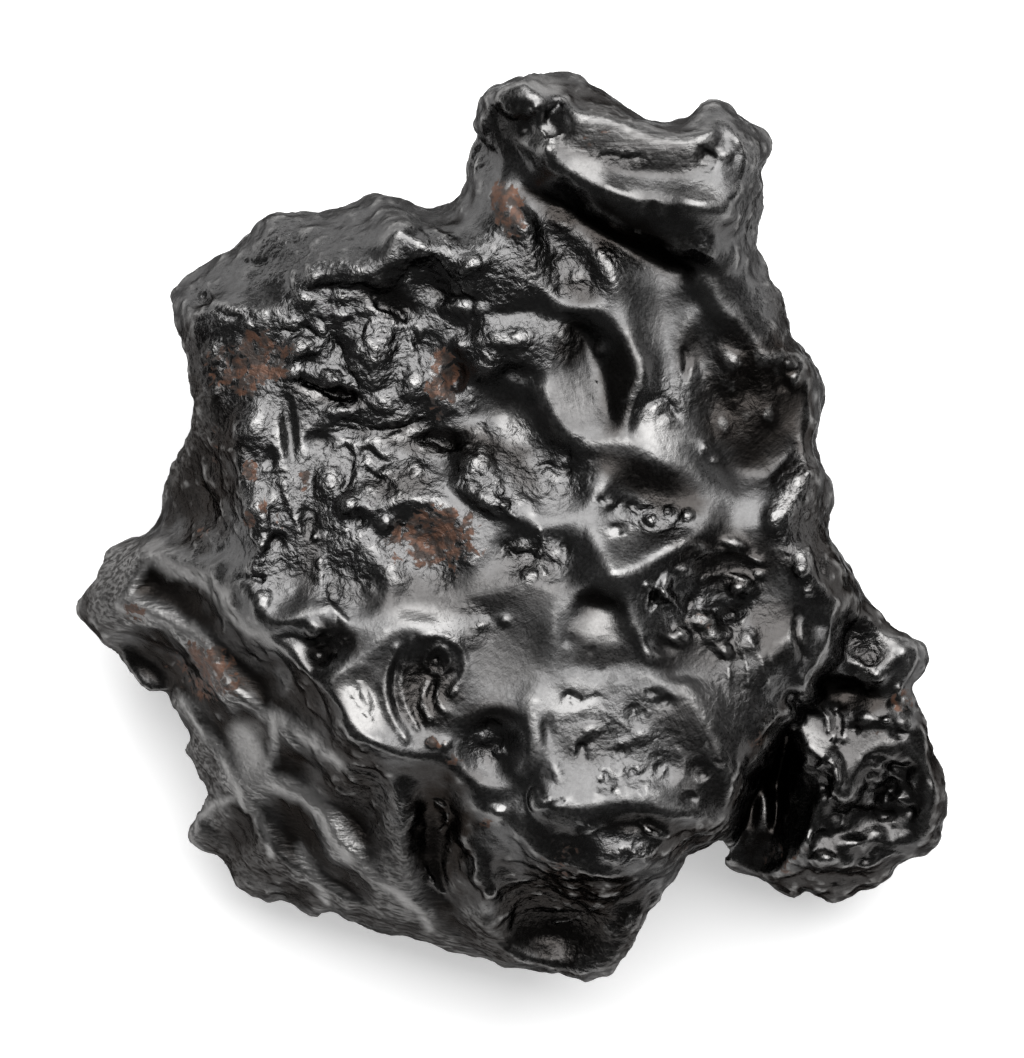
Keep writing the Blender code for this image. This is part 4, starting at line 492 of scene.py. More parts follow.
# Long marks by kind: half width in plan units, height or depth in mm, and points.
STROKES = tuple(Stroke(kind, *row) for kind, rows in {
    Mark.WELT: (
        (7, 0.52, ((318, 262), (305, 263), (297, 272), (296, 285), (300, 297), (307, 301))),
        (4, 0.27, ((283, 478), (287, 495), (294, 515), (299, 532))),
        (5, 0.45, ((236, 490), (244, 502), (250, 520), (255, 540), (262, 550))),
        (6, 0.34, ((320, 560), (322, 585), (332, 605), (345, 620))),
        (3.5, 0.68, ((541, 132), (550, 139), (560, 136))),
        (5, 0.56, ((646, 585), (660, 590), (672, 600), (682, 612))),
        (4, 0.44, ((690, 560), (710, 552), (735, 552), (760, 562))),
        (4, 0.38, ((700, 580), (722, 574), (748, 580))),
        (2.5, 0.28, ((735, 640), (745, 660), (748, 685))),
        (2.5, 0.28, ((748, 636), (760, 658), (766, 682))),
        (2.5, 0.28, ((722, 645), (728, 665), (728, 690))),
        (3.5, 0.38, ((455, 475), (480, 482), (505, 508), (518, 520))),
        (4, 0.45, ((540, 530), (544, 545), (538, 560), (545, 575))),
        (3, 0.38, ((350, 690), (360, 705), (372, 720))),
        (4, 0.44, ((640, 822), (652, 832), (668, 836))),
        (3, 0.5, ((436, 800), (445, 808), (448, 820), (440, 832))),
        (3, 0.44, ((425, 870), (432, 884), (442, 896))),
        (4, 0.44, ((556, 925), (572, 922), (590, 912), (600, 900))),
        (4, 0.5, ((802, 700), (815, 705), (828, 718), (830, 732))),
        (4, 0.56, ((820, 768), (828, 762), (836, 768), (838, 785), (832, 800))),
        (4, 0.44, ((872, 778), (888, 772), (902, 780))),
        (4, 0.44, ((870, 796), (888, 792), (900, 800))),
        (7, 0.45, ((397, 648), (388, 668), (385, 692), (392, 716), (406, 738))),
        (5, 0.3, ((412, 640), (405, 662), (401, 684), (407, 708), (417, 728))),
        (5, 0.4, ((428, 682), (423, 700), (430, 718))),
        (5, 0.35, ((442, 678), (438, 696), (444, 710))),
        (4, 0.4, (
            (425, 660), (430, 650), (440, 646), (449, 653), (449, 666), (440, 673), (430, 670),
            (425, 660))),
        (6, 0.35, ((424, 636), (440, 634), (457, 643), (465, 659), (463, 676), (453, 692))),
    ),
    Mark.CRACK: (
        (3.9, 0.45, ((247, 262), (258, 262), (266, 259))),
        (6.5, 0.83, (
            (313, 292), (320, 288), (335, 288), (350, 290), (362, 290), (372, 296), (384, 306),
            (395, 312), (402, 320))),
        (6.5, 0.75, ((219, 311), (228, 316), (238, 318))),
        (5.2, 0.52, ((196, 318), (205, 320), (213, 318))),
        (5.2, 0.6, ((285, 330), (298, 333), (306, 328), (316, 336))),
        (3.9, 0.52, ((320, 318), (330, 335), (342, 350), (352, 368), (358, 385))),
        (7.8, 1.2, ((300, 378), (312, 385), (325, 392), (340, 397), (352, 396))),
        (3.2, 0.33, ((372, 330), (380, 325), (392, 328), (396, 338), (388, 346), (376, 343), (372, 330))),
        (3.2, 0.3, (
            (362, 328), (372, 318), (392, 318), (404, 334), (398, 352), (380, 356), (366, 348),
            (362, 328))),
        (5.2, 0.68, ((400, 312), (412, 330), (420, 350))),
        (3.2, 0.33, ((332, 425), (345, 428), (358, 432))),
        (3.2, 0.33, ((330, 431), (344, 435), (356, 438))),
        (3.2, 0.3, ((340, 419), (352, 422), (362, 424))),
        (6.5, 0.68, ((362, 455), (368, 450), (374, 456), (384, 462), (394, 462))),
        (5.85, 0.41, ((256, 477), (270, 476), (287, 477))),
        (5.9, 0.75, ((241, 579), (252, 577), (262, 579))),
        (5.2, 0.6, ((232, 478), (240, 498), (248, 515))),
        (5.2, 0.27, ((320, 400), (340, 405), (360, 402), (372, 410))),
        (5.2, 0.52, ((345, 445), (352, 460), (350, 478), (343, 492))),
        (5.2, 0.52, ((362, 470), (380, 478), (398, 474))),
        (5.2, 0.31, ((325, 530), (340, 536), (352, 532), (362, 520))),
        (5.2, 0.27, ((330, 590), (340, 608), (350, 618))),
        (6.5, 0.68, ((430, 440), (445, 446), (460, 452), (475, 455))),
        (3.9, 0.45, ((410, 275), (418, 262), (432, 258), (446, 268), (450, 285))),
        (3.9, 0.38, ((408, 262), (412, 272), (406, 280))),
        (5.2, 0.52, ((440, 262), (455, 280), (470, 300), (474, 318))),
        (3.9, 0.38, ((600, 158), (612, 156), (625, 160), (640, 158))),
        (6.5, 0.9, ((548, 122), (552, 112), (560, 106))),
        (5.2, 0.44, ((700, 150), (712, 158), (708, 170), (696, 168))),
        (3.9, 0.38, ((692, 240), (700, 230), (708, 238), (700, 246), (692, 240))),
        (6.5, 0.56, ((738, 205), (748, 200), (758, 208))),
        (6.5, 0.56, ((742, 226), (752, 222), (760, 230))),
        (5.2, 0.5, ((684, 350), (686, 364), (684, 378))),
        (3.9, 0.31, ((784, 360), (792, 358), (798, 366), (792, 373), (784, 370), (784, 360))),
        (5.2, 0.44, ((648, 405), (660, 398), (670, 404), (676, 415))),
        (3.9, 0.31, ((782, 505), (800, 508), (826, 506))),
        (3.9, 0.31, ((788, 518), (806, 522), (828, 520))),
        (5.2, 0.5, ((600, 500), (612, 508), (622, 502), (634, 512), (650, 508))),
        (5.2, 0.44, ((640, 520), (652, 530), (668, 526), (682, 512))),
        (5.2, 0.5, ((650, 600), (665, 612), (672, 630), (682, 642))),
        (5.2, 0.44, ((706, 612), (720, 606), (732, 612), (736, 626))),
        (6.5, 0.56, ((800, 612), (796, 632), (802, 655))),
        (3.9, 0.45, ((497, 505), (505, 496), (512, 503), (505, 512), (497, 505))),
        (5.2, 0.45, ((535, 470), (548, 465), (560, 472), (572, 468))),
        (5.2, 0.45, ((505, 545), (515, 556), (525, 552), (538, 560))),
        (3.9, 0.3, ((370, 520), (385, 515), (398, 522), (400, 538), (388, 545), (374, 538))),
        (5.2, 0.44, ((310, 640), (322, 634), (334, 642))),
        (3.2, 0.28, ((338, 640), (345, 635), (351, 642), (345, 648), (338, 640))),
        (4.5, 0.31, ((565, 692), (580, 700), (598, 696))),
        (4.5, 0.38, ((540, 790), (548, 803), (562, 800))),
        (4.5, 0.38, ((580, 824), (592, 832), (604, 826))),
        (6.5, 0.5, ((460, 930), (475, 942), (490, 955))),
        (6.5, 0.5, ((478, 925), (492, 940), (508, 950))),
        (6.5, 0.62, ((838, 712), (842, 728), (838, 745))),
        (5.2, 0.5, ((868, 760), (884, 756), (898, 762))),
        (6.5, 0.62, ((800, 880), (818, 876), (838, 884))),
        (4, 0.25, ((417, 690), (414, 708), (424, 728))),
        (4, 0.25, ((434, 684), (433, 706))),
        (4, 0.25, ((396, 668), (394, 690), (400, 714))),
        (1.6, 0.09, ((548, 372), (560, 400), (576, 430))),
        (1.6, 0.09, ((556, 366), (568, 396), (584, 424))),
        (1.6, 0.09, ((565, 360), (578, 392), (592, 422))),
        (1.6, 0.09, ((574, 356), (587, 386), (600, 414))),
        (1.6, 0.09, ((584, 354), (596, 382), (606, 404))),
        (1.6, 0.09, ((552, 394), (562, 414), (572, 432))),
    ),
}.items() for row in rows)

# Round marks by kind: x, y, two radii, height or depth in mm, and turn if there is one.
SPOTS = tuple(Spot(kind, *row) for kind, rows in {
    Mark.DOME: (
        (312, 274, 14, 14, 0.68), (296, 252, 7, 6, 0.45), (308, 268, 7, 6, 0.45),
        (248, 325, 14, 9, 0.6, 20), (292, 322, 16, 8, 0.6), (212, 350, 14, 16, 0.9, 20),
        (212, 390, 16, 12, 0.75), (340, 298, 14, 8, 0.68), (345, 316, 14, 9, 0.6),
        (370, 312, 16, 8, 0.45), (336, 381, 23, 13, 1.35, 20), (300, 348, 16, 14, 0.6),
        (296, 372, 14, 12, 0.9), (412, 385, 18, 21, 0.75), (340, 412, 21, 9, 0.75),
        (440, 400, 21, 23, 0.75), (460, 345, 16, 12, 0.68), (480, 372, 14, 18, 0.75),
        (347, 505, 16, 18, 1.35), (372, 490, 16, 12, 0.75), (315, 537, 5, 7, 0.73),
        (388, 524, 16, 14, 1.05), (385, 475, 18, 10, 0.9), (415, 430, 16, 9, 0.6),
        (470, 470, 14, 14, 0.6), (236, 430, 12, 18, 0.75, 10), (250, 505, 9, 18, 0.75, -15),
        (262, 545, 10, 16, 0.75, 30), (272, 500, 9, 14, 0.6), (262, 602, 18, 12, 0.75, -50),
        (315, 628, 14, 10, 0.75, 30), (322, 668, 10, 7, 0.62), (366, 698, 8, 23, 0.62, -20),
        (340, 740, 12, 21, 0.5, -20), (432, 742, 9, 7, 0.75), (446, 744, 7, 7, 0.62),
        (480, 626, 14, 7, 0.5, -15), (505, 620, 10, 8, 0.5), (484, 738, 14, 10, 0.75),
        (500, 752, 10, 8, 0.62), (428, 298, 14, 18, 0.6), (600, 350, 8, 9, 0.75), (512, 108, 3, 3, 0.45),
        (535, 110, 5, 7, 0.6), (740, 140, 16, 14, 0.62), (725, 156, 10, 9, 0.5),
        (552, 555, 16, 13, 0.55), (522, 548, 12, 10, 0.45), (530, 576, 12, 9, 0.4),
        (552, 478, 16, 14, 0.6), (655, 408, 13, 10.4, 0.48), (668, 420, 10.4, 10.4, 0.34),
        (705, 448, 7, 9, 0.75), (715, 460, 6, 6, 0.5), (810, 472, 10, 9, 0.75), (795, 380, 10, 12, 0.75),
        (618, 528, 12, 9, 0.88), (650, 520, 10, 9, 0.88), (686, 515, 12, 9, 0.88),
        (608, 505, 9, 8, 0.62), (668, 596, 12, 8, 1.12, 30), (735, 590, 10, 8, 0.75),
        (758, 575, 9, 7, 0.75), (800, 570, 10, 8, 0.62), (807, 592, 9, 7, 0.62),
        (650, 831, 10, 5, 0.62, 20), (497, 812, 12, 9, 0.75), (490, 897, 13, 10, 0.75),
        (560, 922, 16, 10, 0.4), (440, 806, 8, 7, 0.62), (443, 822, 7, 6, 0.52), (431, 882, 7, 8, 0.52),
        (545, 802, 12, 8, 0.62), (590, 828, 12, 7, 0.62), (630, 920, 6, 18, 0.5, 15),
        (812, 706, 16, 10, 0.88, 30), (868, 720, 14, 10, 0.88), (840, 738, 14, 9, 0.62),
        (886, 784, 16, 14, 0.88), (862, 845, 16.8, 13, 0.66), (845, 866, 12, 9.1, 0.46),
        (828, 862, 16.8, 9.1, 0.56), (895, 860, 12, 9.1, 0.46), (936, 790, 7, 16, 0.62),
        (820, 892, 14, 6, 0.5), (905, 655, 8, 14, 0.5), (248, 745, 12, 8, 0.5, 45),
        (142, 535, 6, 6, 0.45), (374, 356, 28, 46, 1.5, 6), (446, 306, 24, 12, 0.8),
        (388, 402, 40, 14, 1.2, -10), (482, 498, 46, 15, 1.4, 28), (329, 482, 20, 28, 1.5),
        (254, 424, 16, 32, 1, 8), (260, 512, 12, 36, 1.1, -8), (300, 350, 26, 18, 0.8),
        (490, 370, 20, 22, 0.8), (470, 268, 24, 14, 1, -20), (515, 340, 34, 14, 0.8),
        (415, 470, 26, 12, 1), (836, 760, 14, 9, 0.7, 40), (880, 782, 16, 10, 1, 20),
        (900, 800, 16.8, 11.7, 0.68), (875, 806, 14.4, 10.4, 0.6), (834, 866, 19.2, 10.4, 0.68, -15),
        (866, 846, 16.8, 9.1, 0.68), (892, 846, 14.4, 9.1, 0.6), (906, 724, 13, 10, 0.8),
        (885, 722, 12, 9, 0.8), (902, 690, 9, 8, 0.7), (548, 148, 14, 20, 1, 20), (512, 112, 14, 12, 1),
        (576, 278, 16, 16, 0.8), (664, 588, 10, 24, 1.5, 20), (686, 572, 16, 12, 1.2),
        (706, 622, 20, 16, 1.5, 10), (724, 650, 16, 10, 1, 20), (742, 586, 22, 16, 1.6, 20),
        (680, 636, 13, 12, 1.1), (735, 545, 20, 10, 1, 20), (700, 548, 14, 8, 0.8, 10),
        (826, 862, 19.2, 14.3, 1.5), (852, 846, 21.6, 15.6, 1.35, -10), (878, 838, 19.2, 14.3, 1.2),
        (842, 824, 14.4, 11.7, 1.05), (902, 812, 16.8, 23.4, 1.05), (872, 800, 16.8, 15.6, 0.9),
        (808, 842, 10, 16, 1.4), (890, 720, 12, 9, 0.9), (912, 700, 9, 12, 0.8),
        (880, 768, 14, 8, 0.8, 20), (915, 780, 9, 16, 0.9), (905, 840, 16.8, 11.7, 0.9),
        (600, 778, 7, 5, 0.5), (616, 790, 6, 6, 0.5), (572, 700, 8, 6, 0.4, 20), (652, 698, 8, 7, 0.4),
        (622, 742, 18, 12, 0.4, 10), (590, 730, 22, 10, 0.4, -20), (556, 770, 10, 22, 0.5, -20),
        (640, 735, 12, 10, 0.4), (878, 676, 10, 6, 0.6), (866, 690, 8, 5, 0.4),
        (716, 636, 24, 12, 1, -10), (748, 640, 16, 20, 0.9, 20), (616, 194, 22, 10, 0.5, 20),
        (694, 207, 28, 16, 0.7, 10), (858, 664, 15, 8, 0.7, 25), (730, 360, 22, 14, 0.6, 40),
        (722, 420, 12, 20, 0.6, -20), (770, 415, 10, 16, 0.5),
    ),
    Mark.DENT: (
        (205, 302, 12, 14, 1.2), (232, 366, 21, 16, 0.52), (381, 336, 6, 5, 0.52),
        (310, 360, 14, 12, 0.75), (400, 402, 21, 10, 0.75), (430, 352, 18, 25, 0.9),
        (455, 380, 16, 18, 1.05), (320, 440, 21, 14, 0.9), (360, 520, 16, 14, 1.05),
        (311, 520, 14, 28, 0.9, -8), (405, 470, 16, 10, 0.9), (220, 350, 23, 12, 0.45),
        (270, 460, 10, 16, 0.75), (278, 540, 14, 14, 1.05), (322, 655, 16, 16, 1),
        (437, 658, 5, 5, 0.62), (492, 722, 12, 8, 0.5), (556, 262, 12, 9, 0.6), (430, 270, 9, 8, 0.6),
        (512, 108, 8, 6, 0.52), (705, 158, 14, 10, 0.75), (750, 156, 8, 10, 0.5), (565, 548, 9, 10, 0.5),
        (568, 455, 10, 8, 0.5), (780, 385, 10, 10, 0.5), (668, 512, 9, 8, 0.75), (632, 506, 9, 7, 0.62),
        (815, 625, 18, 16, 0.6), (805, 662, 14, 18, 0.6), (568, 640, 9, 10, 0.25),
        (640, 822, 34, 12, 0.62, 5), (486, 822, 8, 7, 0.5), (470, 880, 7, 18, 0.62),
        (500, 870, 9, 18, 0.62), (565, 835, 16, 10, 0.5), (852, 690, 21, 12, 1, 20),
        (828, 785, 7, 14, 1.12), (912, 770, 12, 18, 0.88), (905, 815, 18, 16, 1),
        (825, 838, 12, 10, 0.75), (868, 880, 14, 7, 0.62), (925, 800, 8, 14, 0.62),
        (790, 885, 10, 7, 0.5), (845, 610, 9, 10, 0.5), (338, 348, 14, 40, 1, -12),
        (436, 284, 34, 34, 1.5), (398, 306, 38, 15, 1.2, 28), (325, 389, 40, 11, 1.2, 14),
        (402, 428, 44, 11, 1.2, -12), (450, 441, 52, 15, 1.3, 8), (378, 484, 24, 30, 1.1),
        (290, 434, 12, 48, 1.1, -6), (355, 430, 30, 14, 0.8), (452, 372, 20, 34, 1),
        (470, 300, 34, 10, 1, 5), (520, 372, 34, 14, 1, 20), (856, 730, 10, 8, 0.7),
        (896, 766, 18, 8, 0.9, 10), (888, 818, 16, 7, 0.8), (812, 872, 12, 7, 0.7),
        (896, 706, 10, 8, 0.7), (838, 708, 12, 6, 0.6), (530, 128, 12, 14, 1), (562, 292, 8, 8, 0.4),
        (650, 600, 8, 16, 1.2, 20), (866, 862, 14, 8, 1.2), (890, 790, 16, 16, 1.4),
        (852, 806, 10, 8, 1), (900, 735, 12, 8, 0.8), (916, 812, 9, 10, 0.9),
        (606, 784, 20, 14, 0.7, 30), (582, 750, 9, 14, 0.5, 20), (570, 700, 16, 12, 0.5),
        (660, 700, 22, 14, 0.6, 10), (634, 712, 14, 16, 0.5), (636, 778, 14, 12, 0.5),
        (690, 800, 16, 10, 0.5), (700, 770, 16, 12, 0.5), (548, 730, 10, 22, 0.4),
        (688, 604, 12, 22, 1.2, 30), (732, 614, 24, 12, 1.2, -20), (660, 645, 22, 12, 0.9, 20),
        (652, 212, 12, 12, 0.6), (874, 642, 10, 13, 0.3, 10), (640, 425, 14, 22, 0.6, 10),
        (748, 392, 16, 26, 0.7),
    ),
    Mark.RIMMED: (
        (592, 650, 6, 7, 0.17, 36), (601, 672, 8, 5, 0.17, 83), (568, 695, 7, 5, 0.28, 130),
        (580, 745, 8, 6, 0.34, 177), (585, 758, 5, 4, 0.34, 44), (606, 774, 9, 5, 0.41, 91),
        (630, 770, 8, 5, 0.34, 5), (633, 708, 6, 4, 0.34, 52), (643, 712, 6, 6, 0.28, 99),
        (665, 701, 10, 6, 0.41, 146), (650, 692, 8, 4, 0.34, 13), (662, 769, 21, 24, 0.41, 60),
        (658, 768, 9, 6, 0.41, 107), (702, 775, 8, 6, 0.34, 154), (690, 796, 9, 7, 0.34, 21),
        (735, 785, 6, 4, 0.28, 68), (620, 750, 9, 5, 0.34, 115), (718, 762, 8, 4, 0.28, 29),
        (642, 790, 6, 4, 0.28, 76), (625, 855, 9, 7, 0.41, 123), (640, 850, 6, 4, 0.34, 170),
        (650, 861, 8, 4, 0.34, 37), (608, 862, 6, 6, 0.28, 84),
    ),
}.items() for row in rows)

# Kinds of crust: x, y, two radii, strength from 0 to 1, and turn if there is one.
PATCHES = tuple(Patch(kind, *row) for kind, rows in {
    Crust.SCALY: (
        (355, 370, 130, 90, 1, 20), (250, 400, 55, 120, 0.8, 10), (280, 520, 60, 90, 0.9),
        (345, 490, 60, 70, 1), (430, 300, 70, 60, 0.7), (400, 440, 80, 40, 1), (700, 160, 60, 40, 0.25),
        (555, 470, 45, 45, 0.6), (655, 520, 50, 24, 0.7, 15), (715, 600, 80, 60, 0.55, 20),
        (535, 560, 45, 30, 0.7), (515, 345, 75, 36, 1), (500, 272, 50, 45, 1), (470, 625, 40, 25, 0.6),
        (484, 742, 30, 30, 0.7), (625, 850, 50, 25, 0.6), (440, 690, 40, 45, 0.15),
        (430, 540, 60, 45, 0.9), (500, 470, 60, 60, 0.9), (840, 780, 110, 110, 0.15),
        (560, 900, 60, 60, 0.5), (370, 820, 45, 70, 0.8, -20), (625, 740, 84, 62, 0.5),
        (560, 140, 60, 50, 0.25), (660, 400, 45, 35, 0.5), (205, 300, 30, 30, 0.5),
        (200, 520, 50, 45, 0.6), (800, 520, 34, 90, 0.7, -8), (780, 310, 30, 60, 0.6, -20),
        (210, 400, 40, 130, 0.8), (280, 235, 110, 40, 0.35, -20), (480, 130, 30, 60, 0.5),
        (752, 200, 20, 80, 0.6), (600, 940, 60, 50, 0.7), (345, 284, 60, 30, 1), (430, 262, 50, 30, 1),
        (420, 560, 60, 40, 0.7), (292, 250, 46, 40, 0.8), (405, 215, 26, 30, 0.4), (340, 575, 40, 40, 1),
        (400, 485, 60, 30, 1), (620, 160, 40, 14, 0.6, 5), (430, 690, 36, 46, 0.6),
        (565, 255, 64, 52, 0.8, 20), (868, 650, 32, 34, 0.8), (300, 250, 110, 36, 0.45, -15),
        (740, 690, 60, 50, 0.4), (740, 390, 50, 60, 0.55), (550, 900, 60, 50, 0.6),
    ),
    Crust.SATIN: (
        (690, 690, 90, 60, 1), (545, 640, 80, 50, 1), (560, 370, 60, 70, 1), (740, 430, 70, 80, 0.9),
        (600, 760, 60, 60, 0.4), (650, 330, 40, 60, 0.8), (350, 240, 90, 40, 0.6, -10),
        (500, 670, 60, 60, 0.9), (630, 150, 60, 30, 0.6), (430, 600, 80, 25, 0.8),
        (340, 610, 50, 30, 0.7), (510, 420, 60, 50, 0.7),
    ),
    Crust.FIBROUS: (
        (150, 600, 110, 60, 1, 35), (240, 740, 110, 90, 1, 40), (330, 850, 110, 70, 1, 30),
        (180, 460, 30, 90, 0.8, 15), (440, 930, 90, 35, 1, 20), (230, 850, 60, 60, 0.6),
        (620, 960, 40, 40, 0.4), (640, 140, 110, 40, 0.35, 5),
    ),
    Crust.RUST: (
        (275, 352, 30, 14, 0.9, -10), (255, 345, 20, 20, 0.95), (222, 368, 20, 30, 0.5, 10),
        (443, 378, 17, 38, 1, 5), (430, 536, 44, 36, 1), (398, 545, 16, 22, 0.5),
        (508, 205, 18, 34, 1, -20), (205, 670, 42.5, 31.2, 1, 20), (132, 614, 16, 14, 0.7, 30),
        (250, 520, 8.75, 12, 1), (279, 521, 7.5, 10.8, 1), (305, 480, 7.5, 14.4, 1),
        (437, 741, 12, 7, 0.9), (760, 740, 20, 12, 0.35), (905, 700, 14, 16, 0.6),
        (880, 735, 14, 9, 0.4), (204, 533, 10, 8, 0.5), (215, 445, 6, 22, 0.5), (262, 505, 6.25, 9.6, 1),
        (485, 823, 9, 7, 0.7), (250, 470, 10, 14.4, 1), (320, 410, 20, 10, 0.3),
        (560, 860, 22, 26, 0.35), (790, 860, 30, 20, 0.4), (700, 620, 18, 14, 0.3),
        (455, 760, 14, 10, 0.4), (596, 140, 30, 14, 0.35), (250, 365, 46, 34, 0.95, -20),
        (436, 395, 14, 34, 0.9), (440, 540, 50, 40, 0.75), (508, 214, 15, 30, 0.8, -15),
    ),
    # Highlight patches: painted highlights where faces should look bright, partly rubbed metal.
    Crust.WEAR_AND_HIGHLIGHT: (
        (660, 435, 34, 26, 0.8, 20), (575, 395, 30, 26, 0.2), (362, 705, 22, 34, 0.9, -20),
        (605, 628, 34, 20, 0.7, 10), (575, 700, 36, 20, 0.5), (425, 618, 40, 16, 0.6, 10),
        (706, 206, 26, 26, 0.6), (626, 196, 22, 12, 0.5, 20), (585, 172, 24, 14, 0.5, 30),
        (545, 145, 12, 24, 0.6), (645, 340, 18, 40, 0.5), (620, 275, 18, 28, 0.4),
        (514, 425, 22, 20, 0.6), (620, 533, 22, 14, 0.7), (785, 505, 24, 14, 0.7, -45),
        (545, 86, 22, 12, 0.8, 10), (390, 245, 14, 22, 0.5), (613, 575, 22, 20, 0.6),
        (497, 812, 14, 12, 0.8), (715, 290, 20, 30, 0.4, -30), (790, 500, 16, 14, 0.5, -40),
        (885, 640, 20, 10, 0.6), (150, 545, 14, 12, 0.4), (820, 745, 26, 10, 0.6, 45),
        (872, 676, 16, 8, 0.7),
    ),
    # Shade patches: painted shade, near-black colour on faces and hollows that should look dark under the
    # lamps.
    Crust.PAINTED_SHADE: (
        (755, 400, 66, 92, 1), (565, 915, 92, 70, 0.9), (620, 385, 26, 62, 0.8, 8),
        (572, 345, 22, 30, 0.8, 30), (620, 235, 110, 30, 1, 22), (440, 835, 44, 80, 1),
        (650, 482, 75, 26, 0.9, 26), (730, 560, 75, 40, 0.8, 10), (600, 598, 26, 14, 0.8, 10),
        (770, 620, 26, 30, 0.7), (640, 824, 62, 14, 0.8, 6), (490, 714, 36, 16, 0.7),
        (580, 290, 26, 16, 0.7, 40), (690, 350, 16, 34, 0.7), (390, 300, 36, 20, 0.6, 30),
        (330, 395, 50, 12, 0.6, 10), (430, 440, 70, 18, 0.6, 8), (330, 640, 36, 22, 0.7),
        (200, 450, 52, 110, 0.85), (770, 790, 40, 90, 1, 10), (505, 130, 26, 36, 0.5),
        (600, 105, 60, 18, 0.5, 20), (820, 560, 30, 60, 0.5), (720, 770, 60, 60, 0.5),
        (390, 690, 18, 50, 0.5), (310, 560, 14, 60, 0.5, 8), (805, 500, 26, 90, 0.5, -8),
        (790, 330, 18, 60, 0.4, -20), (630, 148, 110, 26, 0.4, 6), (700, 645, 62, 34, 0.6, -10),
        (505, 650, 50, 44, 0.35), (690, 720, 40, 60, 0.5), (850, 600, 30, 50, 0.5),
        (560, 840, 40, 26, 0.5, 20), (450, 900, 30, 40, 0.6), (845, 780, 110, 120, 0.5),
        (850, 694, 50, 20, 1, 12), (186, 598, 50, 14, 0.8, 33), (236, 672, 36, 20, 0.9, 45),
        (304, 700, 26, 40, 0.8, -24), (345, 798, 50, 44, 0.8, 20), (205, 724, 20, 14, 0.7, 45),
        (160, 670, 62, 24, 0.9, 28), (290, 842, 20, 36, 0.8, -30), (225, 852, 40, 42, 0.8),
        (372, 840, 34, 34, 0.7), (300, 896, 34, 16, 0.7, 20), (355, 890, 40, 10, 0.5, 30),
        (110, 575, 36, 30, 0.4), (190, 360, 30, 50, 0.6), (130, 560, 40, 36, 0.5),
        (800, 420, 20, 50, 0.8), (835, 560, 30, 60, 0.7, -20), (880, 620, 40, 30, 0.6, 30),
        (930, 780, 22, 90, 0.7), (840, 885, 110, 24, 0.7, -5), (600, 930, 60, 50, 0.8),
        (690, 840, 60, 22, 0.7, -15), (500, 940, 60, 30, 0.8, 10), (440, 780, 60, 24, 0.7, 10),
        (490, 880, 40, 40, 0.6), (350, 760, 60, 24, 0.7, 30), (585, 745, 30, 26, 0.3),
        (600, 655, 50, 14, 0.5), (594, 600, 24, 9, 0.9, 10), (425, 692, 34, 44, 0.5),
        (500, 590, 80, 26, 0.4), (620, 150, 110, 34, 0.5, 6), (190, 592, 80, 34, 0.5, 33),
        (240, 665, 60, 36, 0.6, 45), (350, 790, 80, 50, 0.6, 35), (300, 850, 50, 50, 0.5),
        (310, 700, 44, 60, 0.6, -20), (385, 860, 50, 50, 0.6), (450, 592, 110, 30, 0.45, -3),
        (525, 572, 46, 36, 0.4), (640, 205, 90, 26, 0.35, 15), (868, 640, 36, 40, 0.6),
        (428, 690, 40, 50, 0.85), (480, 445, 60, 18, 0.8, 15), (520, 470, 16, 34, 0.6, -30),
        (230, 720, 200, 90, 0.35, 50), (360, 860, 110, 60, 0.35, 30), (400, 485, 44, 18, 0.6),
        (600, 238, 92, 9, 0.85, 27), (565, 255, 60, 46, 0.35, 20), (575, 395, 40, 46, 0.3),
        (430, 600, 84, 22, 0.5), (780, 630, 36, 40, 0.7), (716, 690, 60, 50, 0.35),
        (550, 935, 50, 34, 0.6), (600, 622, 36, 32, 0.75), (645, 430, 40, 34, 0.25),
        (362, 698, 34, 40, 0.6, -20), (250, 850, 70, 60, 0.75, 30), (100, 600, 50, 60, 0.6),
        (200, 760, 30, 60, 0.6, -20), (400, 920, 120, 30, 0.6, 20), (550, 905, 64, 60, 0.7),
        (740, 400, 56, 70, 0.6), (580, 160, 40, 26, 0.3, 25),
    ),
}.items() for row in rows)

# Bands of crust: half width in plan units, strength, and points.
STREAKS = tuple(Streak(kind, *row) for kind, rows in {
    # Highlight streaks: painted highlights along the ribs of the flank and the lobe, partly rubbed metal.
    Crust.WEAR_AND_HIGHLIGHT: (
        (12, 0.72, (
            (150, 556), (175, 570), (200, 578), (218, 592), (232, 612), (248, 630), (275, 642),
            (300, 652))),
        (5, 0.96, ((150, 556), (136, 580), (116, 606))),
        (10, 0.84, ((122, 606), (155, 618), (185, 632), (205, 646), (212, 666))),
        (5, 1, ((212, 666), (225, 685), (245, 700), (262, 712), (273, 730), (273, 750), (268, 766))),
        (24, 1, ((242, 738), (246, 760), (252, 778))),
        (6, 1, (
            (180, 702), (195, 728), (215, 746), (226, 770), (236, 796), (255, 813), (265, 836),
            (270, 856))),
        (16, 1, ((250, 780), (285, 788), (312, 801), (328, 820), (336, 838), (350, 856))),
        (8, 0.96, ((300, 850), (312, 878), (325, 905))),
        (8, 0.84, ((350, 856), (380, 885), (410, 905), (430, 930))),
        (10, 0.84, ((262, 714), (295, 728), (318, 746), (338, 766))),
        (6, 0.72, ((200, 818), (212, 806), (232, 802), (250, 812))),
        (5, 0.84, ((848, 598), (838, 632), (820, 660), (806, 694), (778, 730), (752, 770))),
        (5, 0.72, ((906, 644), (912, 660), (900, 682), (905, 704))),
        (5, 0.72, ((912, 748), (926, 766), (932, 790), (930, 825))),
    ),
    # A painted shade streak along the trench under the knob ridge.
    Crust.PAINTED_SHADE: (
        (9, 1, ((525, 190), (552, 203), (582, 219), (612, 236), (642, 252), (668, 266))),
    ),
}.items() for row in rows)


